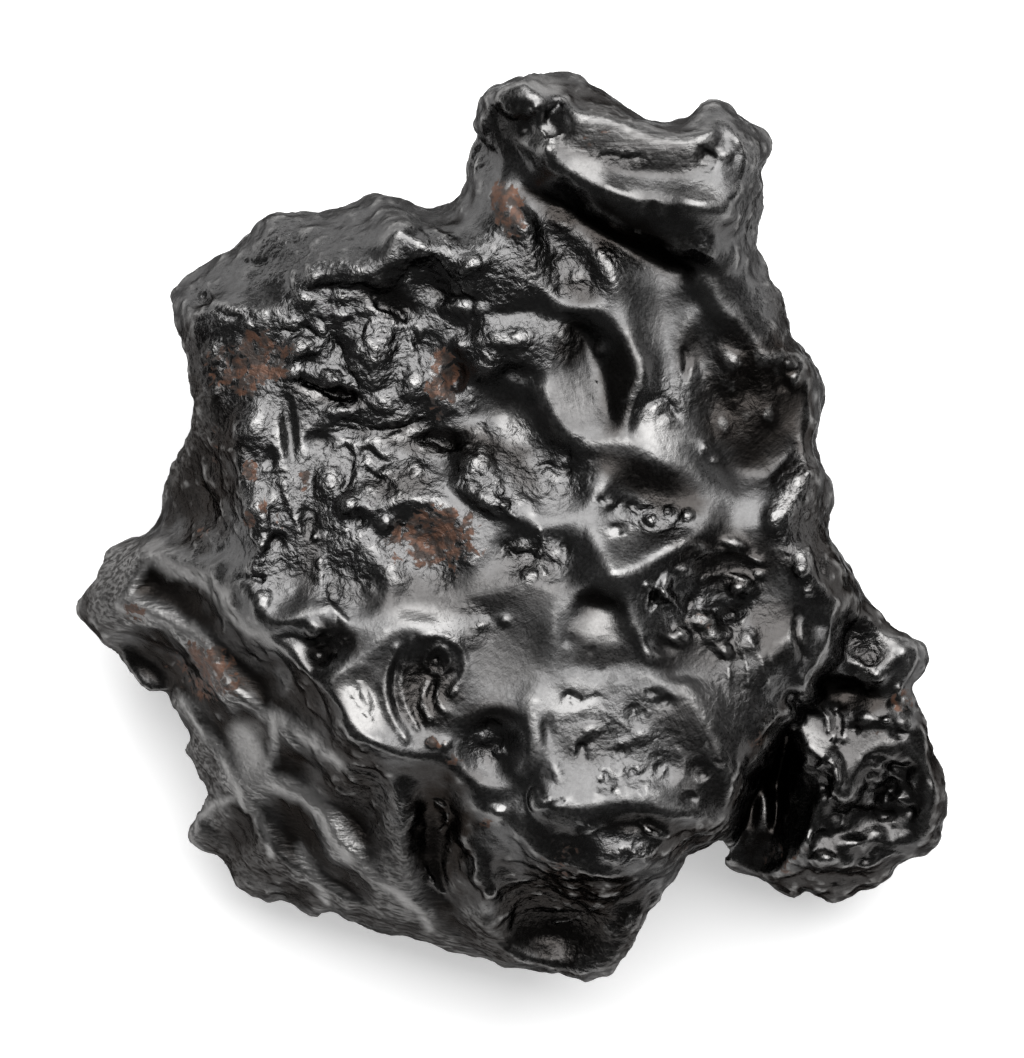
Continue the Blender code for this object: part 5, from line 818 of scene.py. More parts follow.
def eased(value: Array | float, start: float, end: float) -> Array:
    """Return 0 before start, 1 after end, and a smooth rise between them."""
    t = np.clip((np.asarray(value) - start) / (end - start), 0, 1)
    return t * t * (3 - 2 * t)


def rounded(run: Array) -> Array:
    """Return a quarter round that rises from 0 to 1 as the run goes from 0 to 1."""
    return np.sqrt(1 - (1 - np.clip(run, 0, 1)) ** 2)


@dataclass(frozen=True)
class PlanSheet:
    """The sheet that the stone is drawn on: x runs right, y runs down, heights are in mm."""

    width: int = 1024
    height: int = 1058
    unit: float = 0.14

    def nodes(self, step: float) -> tuple[Array, Array]:
        """Return the plan x and y of every node of a grid."""
        rows, columns = int(self.height / step) + 2, int(self.width / step) + 2
        y, x = np.mgrid[0:rows, 0:columns] * float(step)
        return x, y

    def sampled(self, grid: Array, step: float, x: Array, y: Array) -> Array:
        """Return values between the nodes of a grid.

        Args:
            grid: the values at the nodes.
            step: the spacing of the nodes in plan units.
            x: plan x of the wanted values.
            y: plan y of the wanted values.

        Returns:
            One value for each x and y.
        """
        across = np.clip(np.asarray(x, float) / step, 0, grid.shape[1] - 1.001)
        down = np.clip(np.asarray(y, float) / step, 0, grid.shape[0] - 1.001)
        column, row = across.astype(int), down.astype(int)
        across, down = across - column, down - row
        upper = grid[row, column] * (1 - across) + grid[row, column + 1] * across
        lower = grid[row + 1, column] * (1 - across) + grid[row + 1, column + 1] * across
        return upper * (1 - down) + lower * down

    def to_space(self, x: Array | float, y: Array | float, height: Array | float) -> Array:
        """Return points in metres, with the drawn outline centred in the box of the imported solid."""
        low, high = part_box(NODE)
        outline = np.array(OUTLINE)
        middle = (outline.min(axis=0) + outline.max(axis=0)) / 2
        across = (x - middle[0]) * self.unit * MM + (low[0] + high[0]) / 2
        along = (middle[1] - y) * self.unit * MM + (low[1] + high[1]) / 2
        return np.stack([across, along, height * MM], axis=-1)

    def from_space(self, places: Array) -> tuple[Array, Array]:
        """Return the plan x and y of points in metres."""
        start = self.to_space(0.0, 0.0, 0.0)
        scale = self.unit * MM
        return (places[:, 0] - start[0]) / scale, (start[1] - places[:, 1]) / scale


class Curve:
    """A smooth curve through given points; whatever the points hold is carried along it."""

    def __init__(self, given: Sequence[Point], spacing: float = 4.0) -> None:
        """Resample the curve.

        Args:
            given: the points that the curve runs through; it is closed if the last repeats the first.
            spacing: about how far apart the new points are.
        """
        points = np.array(given, float)
        if np.allclose(points[0][:2], points[-1][:2]):
            ends = np.vstack([points[-2], points, points[1]])
        else:
            ends = np.vstack([2 * points[0] - points[1], points, 2 * points[-1] - points[-2]])
        found = []
        for before, start, end, after in zip(ends, ends[1:], ends[2:], ends[3:]):
            count = max(1, int(math.dist(start[:2], end[:2]) / spacing))
            for t in np.arange(count) / count:
                found.append(0.5 * (2 * start + (end - before) * t
                                    + (2 * before - 5 * start + 4 * end - after) * t ** 2
                                    + (3 * start - before - 3 * end + after) * t ** 3))
        found.append(points[-1])
        self.points = np.array(found)

    def nearness(self, step: float, shape: tuple[int, int], reach: float) -> tuple[Array, Array]:
        """Measure from every node of a grid to the curve.

        Args:
            step: the spacing of the nodes.
            shape: the rows and columns of the grid.
            reach: how far from the curve is measured.

        Returns:
            The distance to the curve, endless past the reach, and the last value of its nearest point.
        """
        distance = np.full(shape, np.inf)
        value = np.zeros(shape)
        for start, end in zip(self.points[:-1], self.points[1:]):
            low = np.maximum(0, np.floor((np.minimum(start, end)[:2] - reach) / step)).astype(int)
            high = np.ceil((np.maximum(start, end)[:2] + reach) / step).astype(int) + 1
            rows = slice(low[1], min(shape[0], high[1]))
            columns = slice(low[0], min(shape[1], high[0]))
            y, x = np.mgrid[rows, columns] * float(step)
            run = end - start
            length_squared = run[0] ** 2 + run[1] ** 2 + TINY
            t = np.clip(((x - start[0]) * run[0] + (y - start[1]) * run[1]) / length_squared, 0, 1)
            away = np.hypot(x - start[0] - t * run[0], y - start[1] - t * run[1])
            nearer = (away < distance[rows, columns]) & (away <= reach)
            distance[rows, columns][nearer] = away[nearer]
            value[rows, columns][nearer] = (start[-1] + t * run[-1])[nearer]
        return distance, value

    def inside(self, step: float, shape: tuple[int, int]) -> Array:
        """Return which nodes of a grid lie inside the closed curve."""
        y, x = np.mgrid[0:shape[0], 0:shape[1]] * float(step) + 1e-3
        inside = np.zeros(shape, bool)
        for start, end in zip(self.points[:-1], self.points[1:]):
            if start[1] != end[1]:
                crossing = (end[0] - start[0]) * (y - start[1]) / (end[1] - start[1]) + start[0]
                inside ^= ((start[1] > y) != (end[1] > y)) & (x < crossing)
        return inside

    def nearest(self, places: Array) -> Array:
        """Return the nearest point of the curve to each x and y."""
        start, end = self.points[:-1], self.points[1:]
        run = end - start
        length_squared = run[:, 0] ** 2 + run[:, 1] ** 2 + TINY
        found = np.empty((len(places), self.points.shape[1]))
        for index, (x, y) in enumerate(places):
            ahead = (x - start[:, 0]) * run[:, 0] + (y - start[:, 1]) * run[:, 1]
            t = np.clip(ahead / length_squared, 0, 1)
            spots = start + t[:, None] * run
            found[index] = spots[np.argmin(np.hypot(spots[:, 0] - x, spots[:, 1] - y))]
        return found


@dataclass
class Membrane:
    """A skin that is pinned to its outline and its crests and sags into its hollows."""

    sheet: PlanSheet
    outline: Curve
    crests: Sequence[Crest] = ()
    hollows: Sequence[Hollow] = ()
    crest_crown: float = 0.1
    least_crest: float = 0.71
    hollow_edge: Point = (0.85, 1.15)
    over_relaxation: float = 1.85
    sweeps: int = 140

    def settled(self, finest: float) -> Array:
        """Return the heights of the skin on a grid, worked from coarse to fine.

        Args:
            finest: the spacing of the returned grid in plan units.

        Returns:
            The height in mm at each node.
        """
        height = None
        for step in (finest * 8, finest * 4, finest * 2, finest):
            x, y = self.sheet.nodes(step)
            pinned = ~self.outline.inside(step, x.shape)
            reach = self.sheet.width if height is None else 4 * step
            _, value = self.outline.nearness(step, x.shape, reach)
            nearness = np.full(x.shape, np.inf)
            for crest in self.crests:
                half = max(crest.width / 2, self.least_crest * step)
                away, level = Curve(crest.points).nearness(step, x.shape, half)
                away /= half
                hit = (away <= 1) & (away < nearness) & ~(pinned & np.isinf(nearness))
                value[hit] = level[hit] - self.crest_crown * self.sheet.unit * crest.width * away[hit] ** 2
                nearness[hit] = away[hit]
                pinned |= hit
            if height is None:
                height = np.full(x.shape, value[pinned].mean())
            else:
                height = self.sheet.sampled(height, step * 2, x, y)
            height[pinned] = value[pinned]
            self._relax(height, pinned, self._load(x, y) * step ** 2)
        return height

    def _load(self, x: Array, y: Array) -> Array:
        """Return the load that makes the skin sag by each hollow's depth inside its oval."""
        load = np.zeros(x.shape)
        for hollow in self.hollows:
            cover = 1 - eased(oval(hollow, x, y), *self.hollow_edge)
            load += cover * 2 * hollow.depth * (1 / hollow.radius_x ** 2 + 1 / hollow.radius_y ** 2)
        return load

    def _relax(self, height: Array, pinned: Array, load: Array) -> None:
        """Let the free nodes move until their bend matches the load."""
        row, column = np.indices(height.shape)
        free = ~pinned
        free[[0, -1], :] = False
        free[:, [0, -1]] = False
        colours = [(free & ((row + column) % 2 == parity))[1:-1, 1:-1] for parity in (0, 1)]
        middle = height[1:-1, 1:-1]
        for _ in range(self.sweeps):
            for colour in colours:
                level = 0.25 * (height[:-2, 1:-1] + height[2:, 1:-1] + height[1:-1, :-2]
                                + height[1:-1, 2:] - load[1:-1, 1:-1])
                middle[colour] += self.over_relaxation * (level - middle)[colour]


def oval(mark: Hollow | Spot | Patch, x: Array, y: Array) -> Array:
    """Return how far out points lie in a mark's oval: 0 in its middle, 1 on its edge."""
    c, s = math.cos(math.radians(mark.turn)), math.sin(math.radians(mark.turn))
    u = ((x - mark.x) * c + (y - mark.y) * s) / mark.radius_x
    v = ((y - mark.y) * c - (x - mark.x) * s) / mark.radius_y
    return np.hypot(u, v)


def softened(grid: Array, sigma: float) -> Array:
    """Return the grid blurred by a bell curve of the given width, in nodes."""
    reach = math.ceil(3 * sigma)
    weights = np.exp(-0.5 * (np.arange(-reach, reach + 1) / sigma) ** 2)
    weights /= weights.sum()
    for _ in range(2):
        padded = np.pad(grid, ((reach, reach), (0, 0)), mode="edge")
        grid = sum(weight * padded[index:index + grid.shape[0]] for index, weight in enumerate(weights)).T
    return grid


@dataclass
class SmallRelief:
    """The welts, cracks, lumps and pits that are pressed into the skin."""

    sheet: PlanSheet
    strokes: Sequence[Stroke]
    spots: Sequence[Spot]
    point_spacing: float = 3.0
    rim_share: float = 0.45
    rim_width: float = 0.28
    pit_floor: Point = (0.3, 0.95)
    crack_flare: float = 1.5

    def heights(self, step: float) -> Array:
        """Return what the marks add to the skin, in mm, on a grid of the given spacing."""
        x, y = self.sheet.nodes(step)
        relief = np.zeros(x.shape)
        for stroke in self.strokes:
            away, _ = Curve(stroke.points, self.point_spacing).nearness(step, x.shape, stroke.reach)
            across = np.clip(away / stroke.reach, 0, 1)
            if stroke.kind is Mark.WELT:
                relief += stroke.height * (1 - across ** 2) ** 2
            else:
                relief -= stroke.height * (1 - across) ** self.crack_flare
        for spot in self.spots:
            relief += self._round_mark(spot, oval(spot, x, y))
        return relief

    def _round_mark(self, spot: Spot, out: Array) -> Array:
        """Return the relief of one round mark, given how far out in its oval each node lies."""
        bowl = np.clip(1 - out ** 2, 0, 1) ** 2
        if spot.kind is Mark.DOME:
            return spot.height * bowl
        if spot.kind is Mark.DENT:
            return -spot.height * bowl
        rim = np.exp(-((out - 1) / self.rim_width) ** 2)
        floor = (1 - self.rim_share) * (1 - eased(out, *self.pit_floor))
        return spot.height * (self.rim_share * rim - floor)


class Lattice:
    """Smooth noise from hashed lattice numbers: the same on every run."""

    AXIS_PRIMES = (73856093, 19349663, 83492791)
    SALT_PRIME = 7919
    PART_PRIME = 104729
    MIXERS = ((15, 2246822519), (13, 3266489917))
    MOST = 0xFFFFFF
    GAIN = 1.6
    FOLD_RATIO = 2.03
    FOLD_SHIFT = 17.3
    FINE_FOLD = 0.5
    MEAN_DOME = 0.45

    def __init__(self, salt: int) -> None:
        """Keep the number that sets this noise apart from others."""
        self.salt = salt

    def _hashed(self, corner: Array, part: int) -> Array:
        """Return a number from 0 to 1 for each whole-number corner."""
        code = corner.astype(np.int64).astype(np.uint64)
        start = self.salt * self.SALT_PRIME + part * self.PART_PRIME
        mixed = np.full(len(corner), start, np.uint64)
        for axis, prime in enumerate(self.AXIS_PRIMES):
            mixed ^= code[:, axis] * np.uint64(prime)
        for shift, mixer in self.MIXERS:
            mixed = (mixed ^ (mixed >> np.uint64(shift))) * np.uint64(mixer)
        mixed = (mixed ^ (mixed >> np.uint64(16))) & np.uint64(self.MOST)
        return mixed.astype(float) / self.MOST

    def smooth(self, places: Array) -> Array:
        """Return gradient noise from about -1 to 1 at each place."""
        base = np.floor(places)
        inner = places - base
        ease = inner ** 3 * (inner * (inner * 6 - 15) + 10)
        total = np.zeros(len(places))
        for corner in np.ndindex(2, 2, 2):
            shift = np.array(corner, float)
            slope = np.stack([self._hashed(base + shift, part) for part in range(3)], axis=-1) * 2 - 1
            weight = np.prod(np.where(shift > 0, ease, 1 - ease), axis=1)
            total += weight * np.sum(slope * (inner - shift), axis=1)
        return total * self.GAIN

    def folded(self, places: Array) -> Array:
        """Return wrinkles of two sizes, from 0 to about 1, sharp along their crests."""
        coarse = 1 - np.abs(self.smooth(places))
        fine = 1 - np.abs(self.smooth(places * self.FOLD_RATIO + self.FOLD_SHIFT))
        return (coarse + self.FINE_FOLD * fine) / (1 + self.FINE_FOLD)

    def cells(self, places: Array) -> Array:
        """Return the distance to the nearest of scattered cell points."""
        base = np.floor(places)
        near = np.full(len(places), np.inf)
        for shift in np.ndindex(3, 3, 3):
            corner = base + np.array(shift, float) - 1
            point = corner + np.stack([self._hashed(corner, part) for part in range(3)], axis=-1)
            near = np.minimum(near, np.linalg.norm(places - point, axis=1))
        return near

    def domes(self, places: Array) -> Array:
        """Return rounded lumps, one over each cell point, that come to about 0 on average."""
        return self.MEAN_DOME - self.cells(places) ** 2


@dataclass(frozen=True)
class Wrinkles:
    """The wrinkles of the crust: the sizes of their features and their heights, in mm."""

    bend_size: float = 5.0
    bend: float = 1.3
    swell_size: float = 6.0
    ripple_size: float = 2.8
    ripple_share: float = 0.55
    swell_height: float = 0.2
    side_swell: float = 0.45
    fold_size: float = 3.4
    fold_height: float = 0.12
    side_fold: float = 0.5
    lump_size: float = 5.2
    small_lump_size: float = 2.6
    small_lump_share: float = 0.4
    lump_height: float = 0.85
    scale_size: float = 1.9
    scale_height: float = 0.06
    fine_size: float = 1.25
    fine_height: float = 0.03
    fibre_size: float = 1.7
    fibre_height: float = 0.12
    fibre_run: Point = (0.8, -0.6, 0.0)
    fibre_stretch: float = 0.82
    fold_middle: float = 0.75

    def heights(self, spots: Array, sideways: Array, scaly: Array, fibrous: Array) -> Array:
        """Return how far the wrinkles stand out of the smooth stone, in mm.

        Args:
            spots: the vertices in mm.
            sideways: 1 where the stone faces sideways or down, 0 where it faces up.
            scaly: how scaly the crust is.
            fibrous: how fibrous it is.

        Returns:
            One height for each vertex.
        """
        warp = np.stack([Lattice(salt).smooth(spots / self.bend_size) for salt in (11, 12, 13)], axis=-1)
        wavy = spots + self.bend * warp
        scales = 0.5 - Lattice(3).cells(wavy / self.scale_size)
        folds = Lattice(5).folded(wavy / self.fold_size) - self.fold_middle
        fine = Lattice(7).smooth(wavy / self.fine_size)
        along = np.array(self.fibre_run)
        drawn = spots - np.outer(spots @ along, along) * self.fibre_stretch
        fibres = Lattice(9).folded(drawn / self.fibre_size) - self.fold_middle
        ripple = Lattice(4).smooth(spots / self.ripple_size)
        swell = Lattice(2).smooth(spots / self.swell_size) + self.ripple_share * ripple
        lumps = (Lattice(6).domes(wavy / self.lump_size)
                 + self.small_lump_share * Lattice(8).domes(wavy / self.small_lump_size))
        crackled = (self.lump_height * lumps + self.scale_height * scales
                    + self.fold_height * folds + self.fine_height * fine)
        return (sideways * (self.side_swell * swell + self.side_fold * folds)
                + self.swell_height * (0.5 + 0.5 * scaly) * swell
                + scaly * crackled + fibrous * self.fibre_height * fibres)


@dataclass(frozen=True)
class CrustMap:
    """Where each kind of crust lies: as drawn on what faces up, and by chance on the rest."""

    sheet: PlanSheet
    grid: tuple[int, int]
    step: float
    facing_up: Point = (-0.15, 0.35)
    facing_waver: float = 0.3
    waver_size: float = 6.0
    ragged: float = 0.16
    ragged_size: float = 4.0
    finely_ragged: float = 0.1
    finely_ragged_size: float = 1.6
    patch_edge: Point = (0.5, 1.15)
    streak_edge: Point = (0.2, 1.0)
    patch_raggedness: float = 1.6
    streak_raggedness: float = 16.0

    def shares(self, places: Array, normals: Array) -> dict[Crust, Array]:
        """Return how much of each kind of crust every vertex has.

        Args:
            places: the vertices in metres.
            normals: their normals.

        Returns:
            A value from 0 to 1 for each vertex, by kind.
        """
        x, y = self.sheet.from_space(places)
        spots = places / MM
        waver = self.facing_waver * Lattice(35).smooth(spots / self.waver_size)
        upward = eased(normals[:, 2] + waver, *self.facing_up)
        ragged = (self.ragged * Lattice(21).smooth(spots / self.ragged_size)
                  + self.finely_ragged * Lattice(22).smooth(spots / self.finely_ragged_size))
        aside = self._aside(spots)
        shares = {}
        for kind in Crust:
            cover = np.zeros(len(places))
            for patch in (patch for patch in PATCHES if patch.kind is kind):
                out = oval(patch, x, y) + self.patch_raggedness * ragged
                cover = np.maximum(cover, patch.share * (1 - eased(out, *self.patch_edge)))
            shift = self.streak_raggedness * ragged
            cover = np.maximum(cover, self._streaks(kind, x + shift, y - shift))
            shares[kind] = np.clip(cover * upward + aside[kind] * (1 - upward), 0, 1)
        return shares

    def _aside(self, spots: Array) -> dict[Crust, Array]:
        """Return the kinds of crust of the sides and the underside, given the vertices in mm; these faces
        get painted shade over most of them and no painted highlights.
        """
        gloss = 0.5 * Lattice(31).smooth(spots / 14.0)
        return {Crust.SCALY: 0.7 + gloss,
                Crust.SATIN: 0.4 - gloss,
                Crust.FIBROUS: 0.1 + 0.6 * Lattice(32).smooth(spots / 20.0),
                Crust.RUST: 2.2 * Lattice(33).smooth(spots / 9.0) - 0.9,
                Crust.WEAR_AND_HIGHLIGHT: np.zeros(len(spots)),
                # painted shade on the sides and underside, varied at random
                Crust.PAINTED_SHADE: 0.62 + 0.5 * Lattice(34).smooth(spots / 12.0)}

    def _streaks(self, kind: Crust, x: Array, y: Array) -> Array:
        """Return how strongly the streaks of one kind of crust cover each place."""
        cover = np.zeros(self.grid)
        for streak in (streak for streak in STREAKS if streak.kind is kind):
            away, _ = Curve(streak.points).nearness(self.step, self.grid, streak.reach)
            cover = np.maximum(cover, streak.share * (1 - eased(away / streak.reach, *self.streak_edge)))
        return self.sheet.sampled(cover, self.step, x, y)


def vertex_values(mesh: bpy.types.Mesh, attribute: str) -> Array:
    """Return a three-part value of every vertex as an array."""
    values = np.empty(len(mesh.vertices) * 3)
    mesh.vertices.foreach_get(attribute, values)
    return values.reshape(-1, 3)


def move_vertices(mesh: bpy.types.Mesh, places: Array) -> None:
    """Put every vertex in its new place."""
    mesh.vertices.foreach_set("co", places.ravel())
    mesh.update()


@dataclass
class Meteorite:
    """The stone: its two skins, the thumbprints of its sides, its wrinkles and its crust."""

    sheet: PlanSheet
    fine_step: float = 2.0
    blank_step: float = 3.0
    edge_reach: float = 3.6
    edge_swell: float = 2.2
    belly_reach: float = 24.0
    belly_dome: float = 3.4
    foot_radius: float = 3.6
    foot_blend: float = 9.0
    scoop_spacing: float = 17.0
    scoop_depth: float = 2.6
    scoop_steepness: float = 3.2
    softening: float = 0.75
    seam: float = 0.001
    fit_reach: float = 2.0
    voxel: float = 0.42
    triangles: int = 196000
    fit_facing: Point = (0.1, 0.4)
    fit_edge: Point = (0.2, 1.5)
    scoop_facing: Point = (0.0, 0.35)
    wrinkle_facing: Point = (0.45, 0.8)
    bulge_passes: tuple[tuple[str, int], ...] = (("ridge", 4), ("relief", 40), ("bowl", 240))
    flow_centre: Point = (612.0, 575.0)
    flow_turn: float = 100.0

    def build(self) -> bpy.types.Object:
        """Build the stone and return its object."""
        self.outline = Curve(OUTLINE + OUTLINE[:1])
        self.upper = self._upper_skin()
        self.crust_map = CrustMap(self.sheet, self.upper.shape, self.fine_step)
        stone = self._sewn_blank()
        self._modify(stone, "REMESH", mode="VOXEL", voxel_size=self.voxel * MM)
        self._fit_to_skin(stone.data)
        self._scoop(stone.data)
        self._wrinkle(stone.data)
        self._modify(stone, "TRIANGULATE")
        self._modify(stone, "DECIMATE", ratio=self.triangles / len(stone.data.polygons),
                     use_collapse_triangulate=True)
        self._settle(stone.data)
        self._note_crust(stone.data)
        bpy.ops.object.shade_smooth()
        LOG.info("stone: %d triangles", len(stone.data.polygons))
        return stone

    def _upper_skin(self) -> Array:
        """Return the heights of the upper skin on the fine grid, with its small relief."""
        step = self.fine_step
        skin = Membrane(self.sheet, self.outline, CRESTS, HOLLOWS).settled(step)
        distance, _ = self.outline.nearness(step, skin.shape, self.sheet.width)
        self.edge_distance = distance * self.sheet.unit
        skin = softened(skin, self.softening / (step * self.sheet.unit))
        skin += self.edge_swell * rounded(self.edge_distance / self.edge_reach)
        return skin + SmallRelief(self.sheet, STROKES, SPOTS).heights(step)

    def _lower_skin(self) -> Array:
        """Return the heights of the underside on the fine grid."""
        edge = Membrane(self.sheet, self.outline).settled(self.fine_step)
        fall = rounded(self.edge_distance / self.belly_reach)
        dome = self.belly_dome * eased(self.edge_distance, 0.3 * self.belly_reach, self.belly_reach)
        return (edge * (1 - fall) + dome) * self._foot_clearance(*self.sheet.nodes(self.fine_step))

    def _foot_clearance(self, x: Array, y: Array) -> Array:
        """Return 0 on every foot, rising to 1 where its run-out ends."""
        nearest = np.min([np.hypot(x - foot_x, y - foot_y) for foot_x, foot_y in FEET], axis=0)
        return eased(nearest * self.sheet.unit, self.foot_radius, self.foot_radius + self.foot_blend)

    def _sewn_blank(self) -> bpy.types.Object:
        """Cut the two skins from a grid and sew them together along the outline."""
        step = self.blank_step
        rows, columns = int(self.sheet.height / step), int(self.sheet.width / step)
        bpy.ops.object.select_all(action="DESELECT")
        bpy.ops.mesh.primitive_grid_add(x_subdivisions=columns, y_subdivisions=rows, size=2)
        stone = bpy.context.object
        stone.name = stone.data.name = "stone"
        mesh = stone.data
        places = vertex_values(mesh, "co")
        places[:, 0] = (places[:, 0] + 1) / 2 * columns * step
        places[:, 1] = (1 - places[:, 1]) / 2 * rows * step
        move_vertices(mesh, places)
        self._cut_outside(mesh)
        places = vertex_values(mesh, "co")
        rim = self._rim(mesh)
        places[rim] = self.outline.nearest(places[rim, :2])
        move_vertices(mesh, places)
        bpy.ops.object.mode_set(mode="EDIT")
        bpy.ops.mesh.select_all(action="SELECT")
        bpy.ops.mesh.duplicate()
        bpy.ops.mesh.flip_normals()
        bpy.ops.object.mode_set(mode="OBJECT")
        under = np.empty(len(mesh.vertices), bool)
        mesh.vertices.foreach_get("select", under)
        places = vertex_values(mesh, "co")
        rim = self._rim(mesh)
        for skin, part in ((self.upper, ~under & ~rim), (self._lower_skin(), under & ~rim)):
            places[part, 2] = self.sheet.sampled(skin, self.fine_step, places[part, 0], places[part, 1])
        move_vertices(mesh, self.sheet.to_space(*places.T))
        bpy.ops.object.mode_set(mode="EDIT")
        bpy.ops.mesh.select_all(action="SELECT")
        bpy.ops.mesh.remove_doubles(threshold=self.seam * MM)
        bpy.ops.object.mode_set(mode="OBJECT")
        return stone

    def _cut_outside(self, mesh: bpy.types.Mesh) -> None:
        """Delete the faces of the grid that lie outside the outline."""
        centres = np.empty(len(mesh.polygons) * 3)
        mesh.polygons.foreach_get("center", centres)
        x, y = centres.reshape(-1, 3)[:, :2].T
        grid = self.sheet.nodes(self.blank_step)[0].shape
        inside = self.outline.inside(self.blank_step, grid).astype(float)
        bpy.ops.object.mode_set(mode="EDIT")
        bpy.ops.mesh.select_mode(type="FACE")
        bpy.ops.mesh.select_all(action="DESELECT")
        bpy.ops.object.mode_set(mode="OBJECT")
        mesh.polygons.foreach_set("select", self.sheet.sampled(inside, self.blank_step, x, y) < 0.5)
        bpy.ops.object.mode_set(mode="EDIT")
        bpy.ops.mesh.delete(type="FACE")
        bpy.ops.mesh.select_mode(type="VERT")
        bpy.ops.object.mode_set(mode="OBJECT")

    def _rim(self, mesh: bpy.types.Mesh) -> Array:
        """Return which vertices lie on an open edge of the mesh."""
        bpy.ops.object.mode_set(mode="EDIT")
        bpy.ops.mesh.select_all(action="DESELECT")
        bpy.ops.mesh.select_non_manifold(extend=False, use_wire=False, use_multi_face=False,
                                         use_non_contiguous=False, use_verts=False)
        bpy.ops.object.mode_set(mode="OBJECT")
        chosen = np.empty(len(mesh.vertices), bool)
        mesh.vertices.foreach_get("select", chosen)
        return chosen

    def _modify(self, stone: bpy.types.Object, kind: str, **settings: float | str | bool) -> None:
        """Put one modifier on the stone and apply it."""
        modifier = stone.modifiers.new(kind.title(), kind)
        for name, value in settings.items():
            setattr(modifier, name, value)
        bpy.ops.object.modifier_apply(modifier=modifier.name)

    def _fit_to_skin(self, mesh: bpy.types.Mesh) -> None:
        """Move what faces up onto the fine upper skin, whose detail the remesh has rounded off."""
        places, normals = vertex_values(mesh, "co"), vertex_values(mesh, "normal")
        x, y = self.sheet.from_space(places)
        level = self.sheet.sampled(self.upper, self.fine_step, x, y) * MM
        edge = self.sheet.sampled(self.edge_distance, self.fine_step, x, y)
        share = eased(normals[:, 2], *self.fit_facing) * eased(edge, *self.fit_edge)
        reach = self.fit_reach * MM
        places[:, 2] += np.clip(level - places[:, 2], -reach, reach) * share
        move_vertices(mesh, places)

    def _scoop(self, mesh: bpy.types.Mesh) -> None:
        """Press thumbprints into every part of the stone that faces sideways or down."""
        places, normals = vertex_values(mesh, "co"), vertex_values(mesh, "normal")
        x, y = self.sheet.from_space(places)
        share = eased(-normals[:, 2], *self.scoop_facing) * self._foot_clearance(x, y)
        for index in np.nonzero(share > 0)[0]:
            near, second = noise.voronoi(Vector(places[index] / (self.scoop_spacing * MM)))[0][:2]
            bowl = 1 - math.exp(-self.scoop_steepness * (second - near))
            places[index] -= normals[index] * share[index] * bowl * self.scoop_depth * MM
        move_vertices(mesh, places)

    def _wrinkle(self, mesh: bpy.types.Mesh) -> None:
        """Raise the wrinkles and scales of the crust along the surface normals."""
        places, normals = vertex_values(mesh, "co"), vertex_values(mesh, "normal")
        shares = self.crust_map.shares(places, normals)
        sideways = 1 - eased(normals[:, 2], *self.wrinkle_facing)
        height = Wrinkles().heights(places / MM, sideways, shares[Crust.SCALY], shares[Crust.FIBROUS])
        height *= self._foot_clearance(*self.sheet.from_space(places))
        move_vertices(mesh, places + normals * height[:, None] * MM)

    def _settle(self, mesh: bpy.types.Mesh) -> None:
        """Stand the stone on its feet."""
        places = vertex_values(mesh, "co")
        places[:, 2] = np.maximum(places[:, 2], 0)
        move_vertices(mesh, places)

    def _note_crust(self, mesh: bpy.types.Mesh) -> None:
        """Write the kinds of crust, with the painted shade and painted highlights, how far each vertex
        stands out or sinks in, which steers them, and the run of the hair lines to the mesh's vertices.
        """
        places, normals = vertex_values(mesh, "co"), vertex_values(mesh, "normal")
        for kind, share in self.crust_map.shares(places, normals).items():
            mesh.attributes.new(kind.value, "FLOAT", "POINT").data.foreach_set("value", share)
        # the bulges steer painted highlights on crests and painted shade in hollows
        for name, passes in self.bulge_passes:
            bulge = self._bulge(mesh, places, normals, passes)
            mesh.attributes.new(name, "FLOAT", "POINT").data.foreach_set("value", bulge)
        x, y = self.sheet.from_space(places)
        across, down = x - self.flow_centre[0], y - self.flow_centre[1]
        around = np.arctan2(-across, -down) * self.flow_turn
        flow = np.stack([np.hypot(across, down), around, places[:, 2] / MM], axis=-1)
        mesh.attributes.new("flow", "FLOAT_VECTOR", "POINT").data.foreach_set("vector", flow.ravel())

    def _bulge(self, mesh: bpy.types.Mesh, places: Array, normals: Array, passes: int) -> Array:
        """Return how far each vertex stands out of its smoothed neighbourhood, in mm."""
        edges = np.empty(len(mesh.edges) * 2, int)
        mesh.edges.foreach_get("vertices", edges)
        start, end = edges.reshape(-1, 2).T
        count = np.bincount(edges, minlength=len(places))[:, None]
        smooth = places.copy()
        for _ in range(passes):
            sides = [np.bincount(start, smooth[end, axis], len(places))
                     + np.bincount(end, smooth[start, axis], len(places)) for axis in range(3)]
            smooth = 0.5 * smooth + 0.5 * np.stack(sides, axis=-1) / count
        return np.sum((places - smooth) * normals, axis=1) / MM


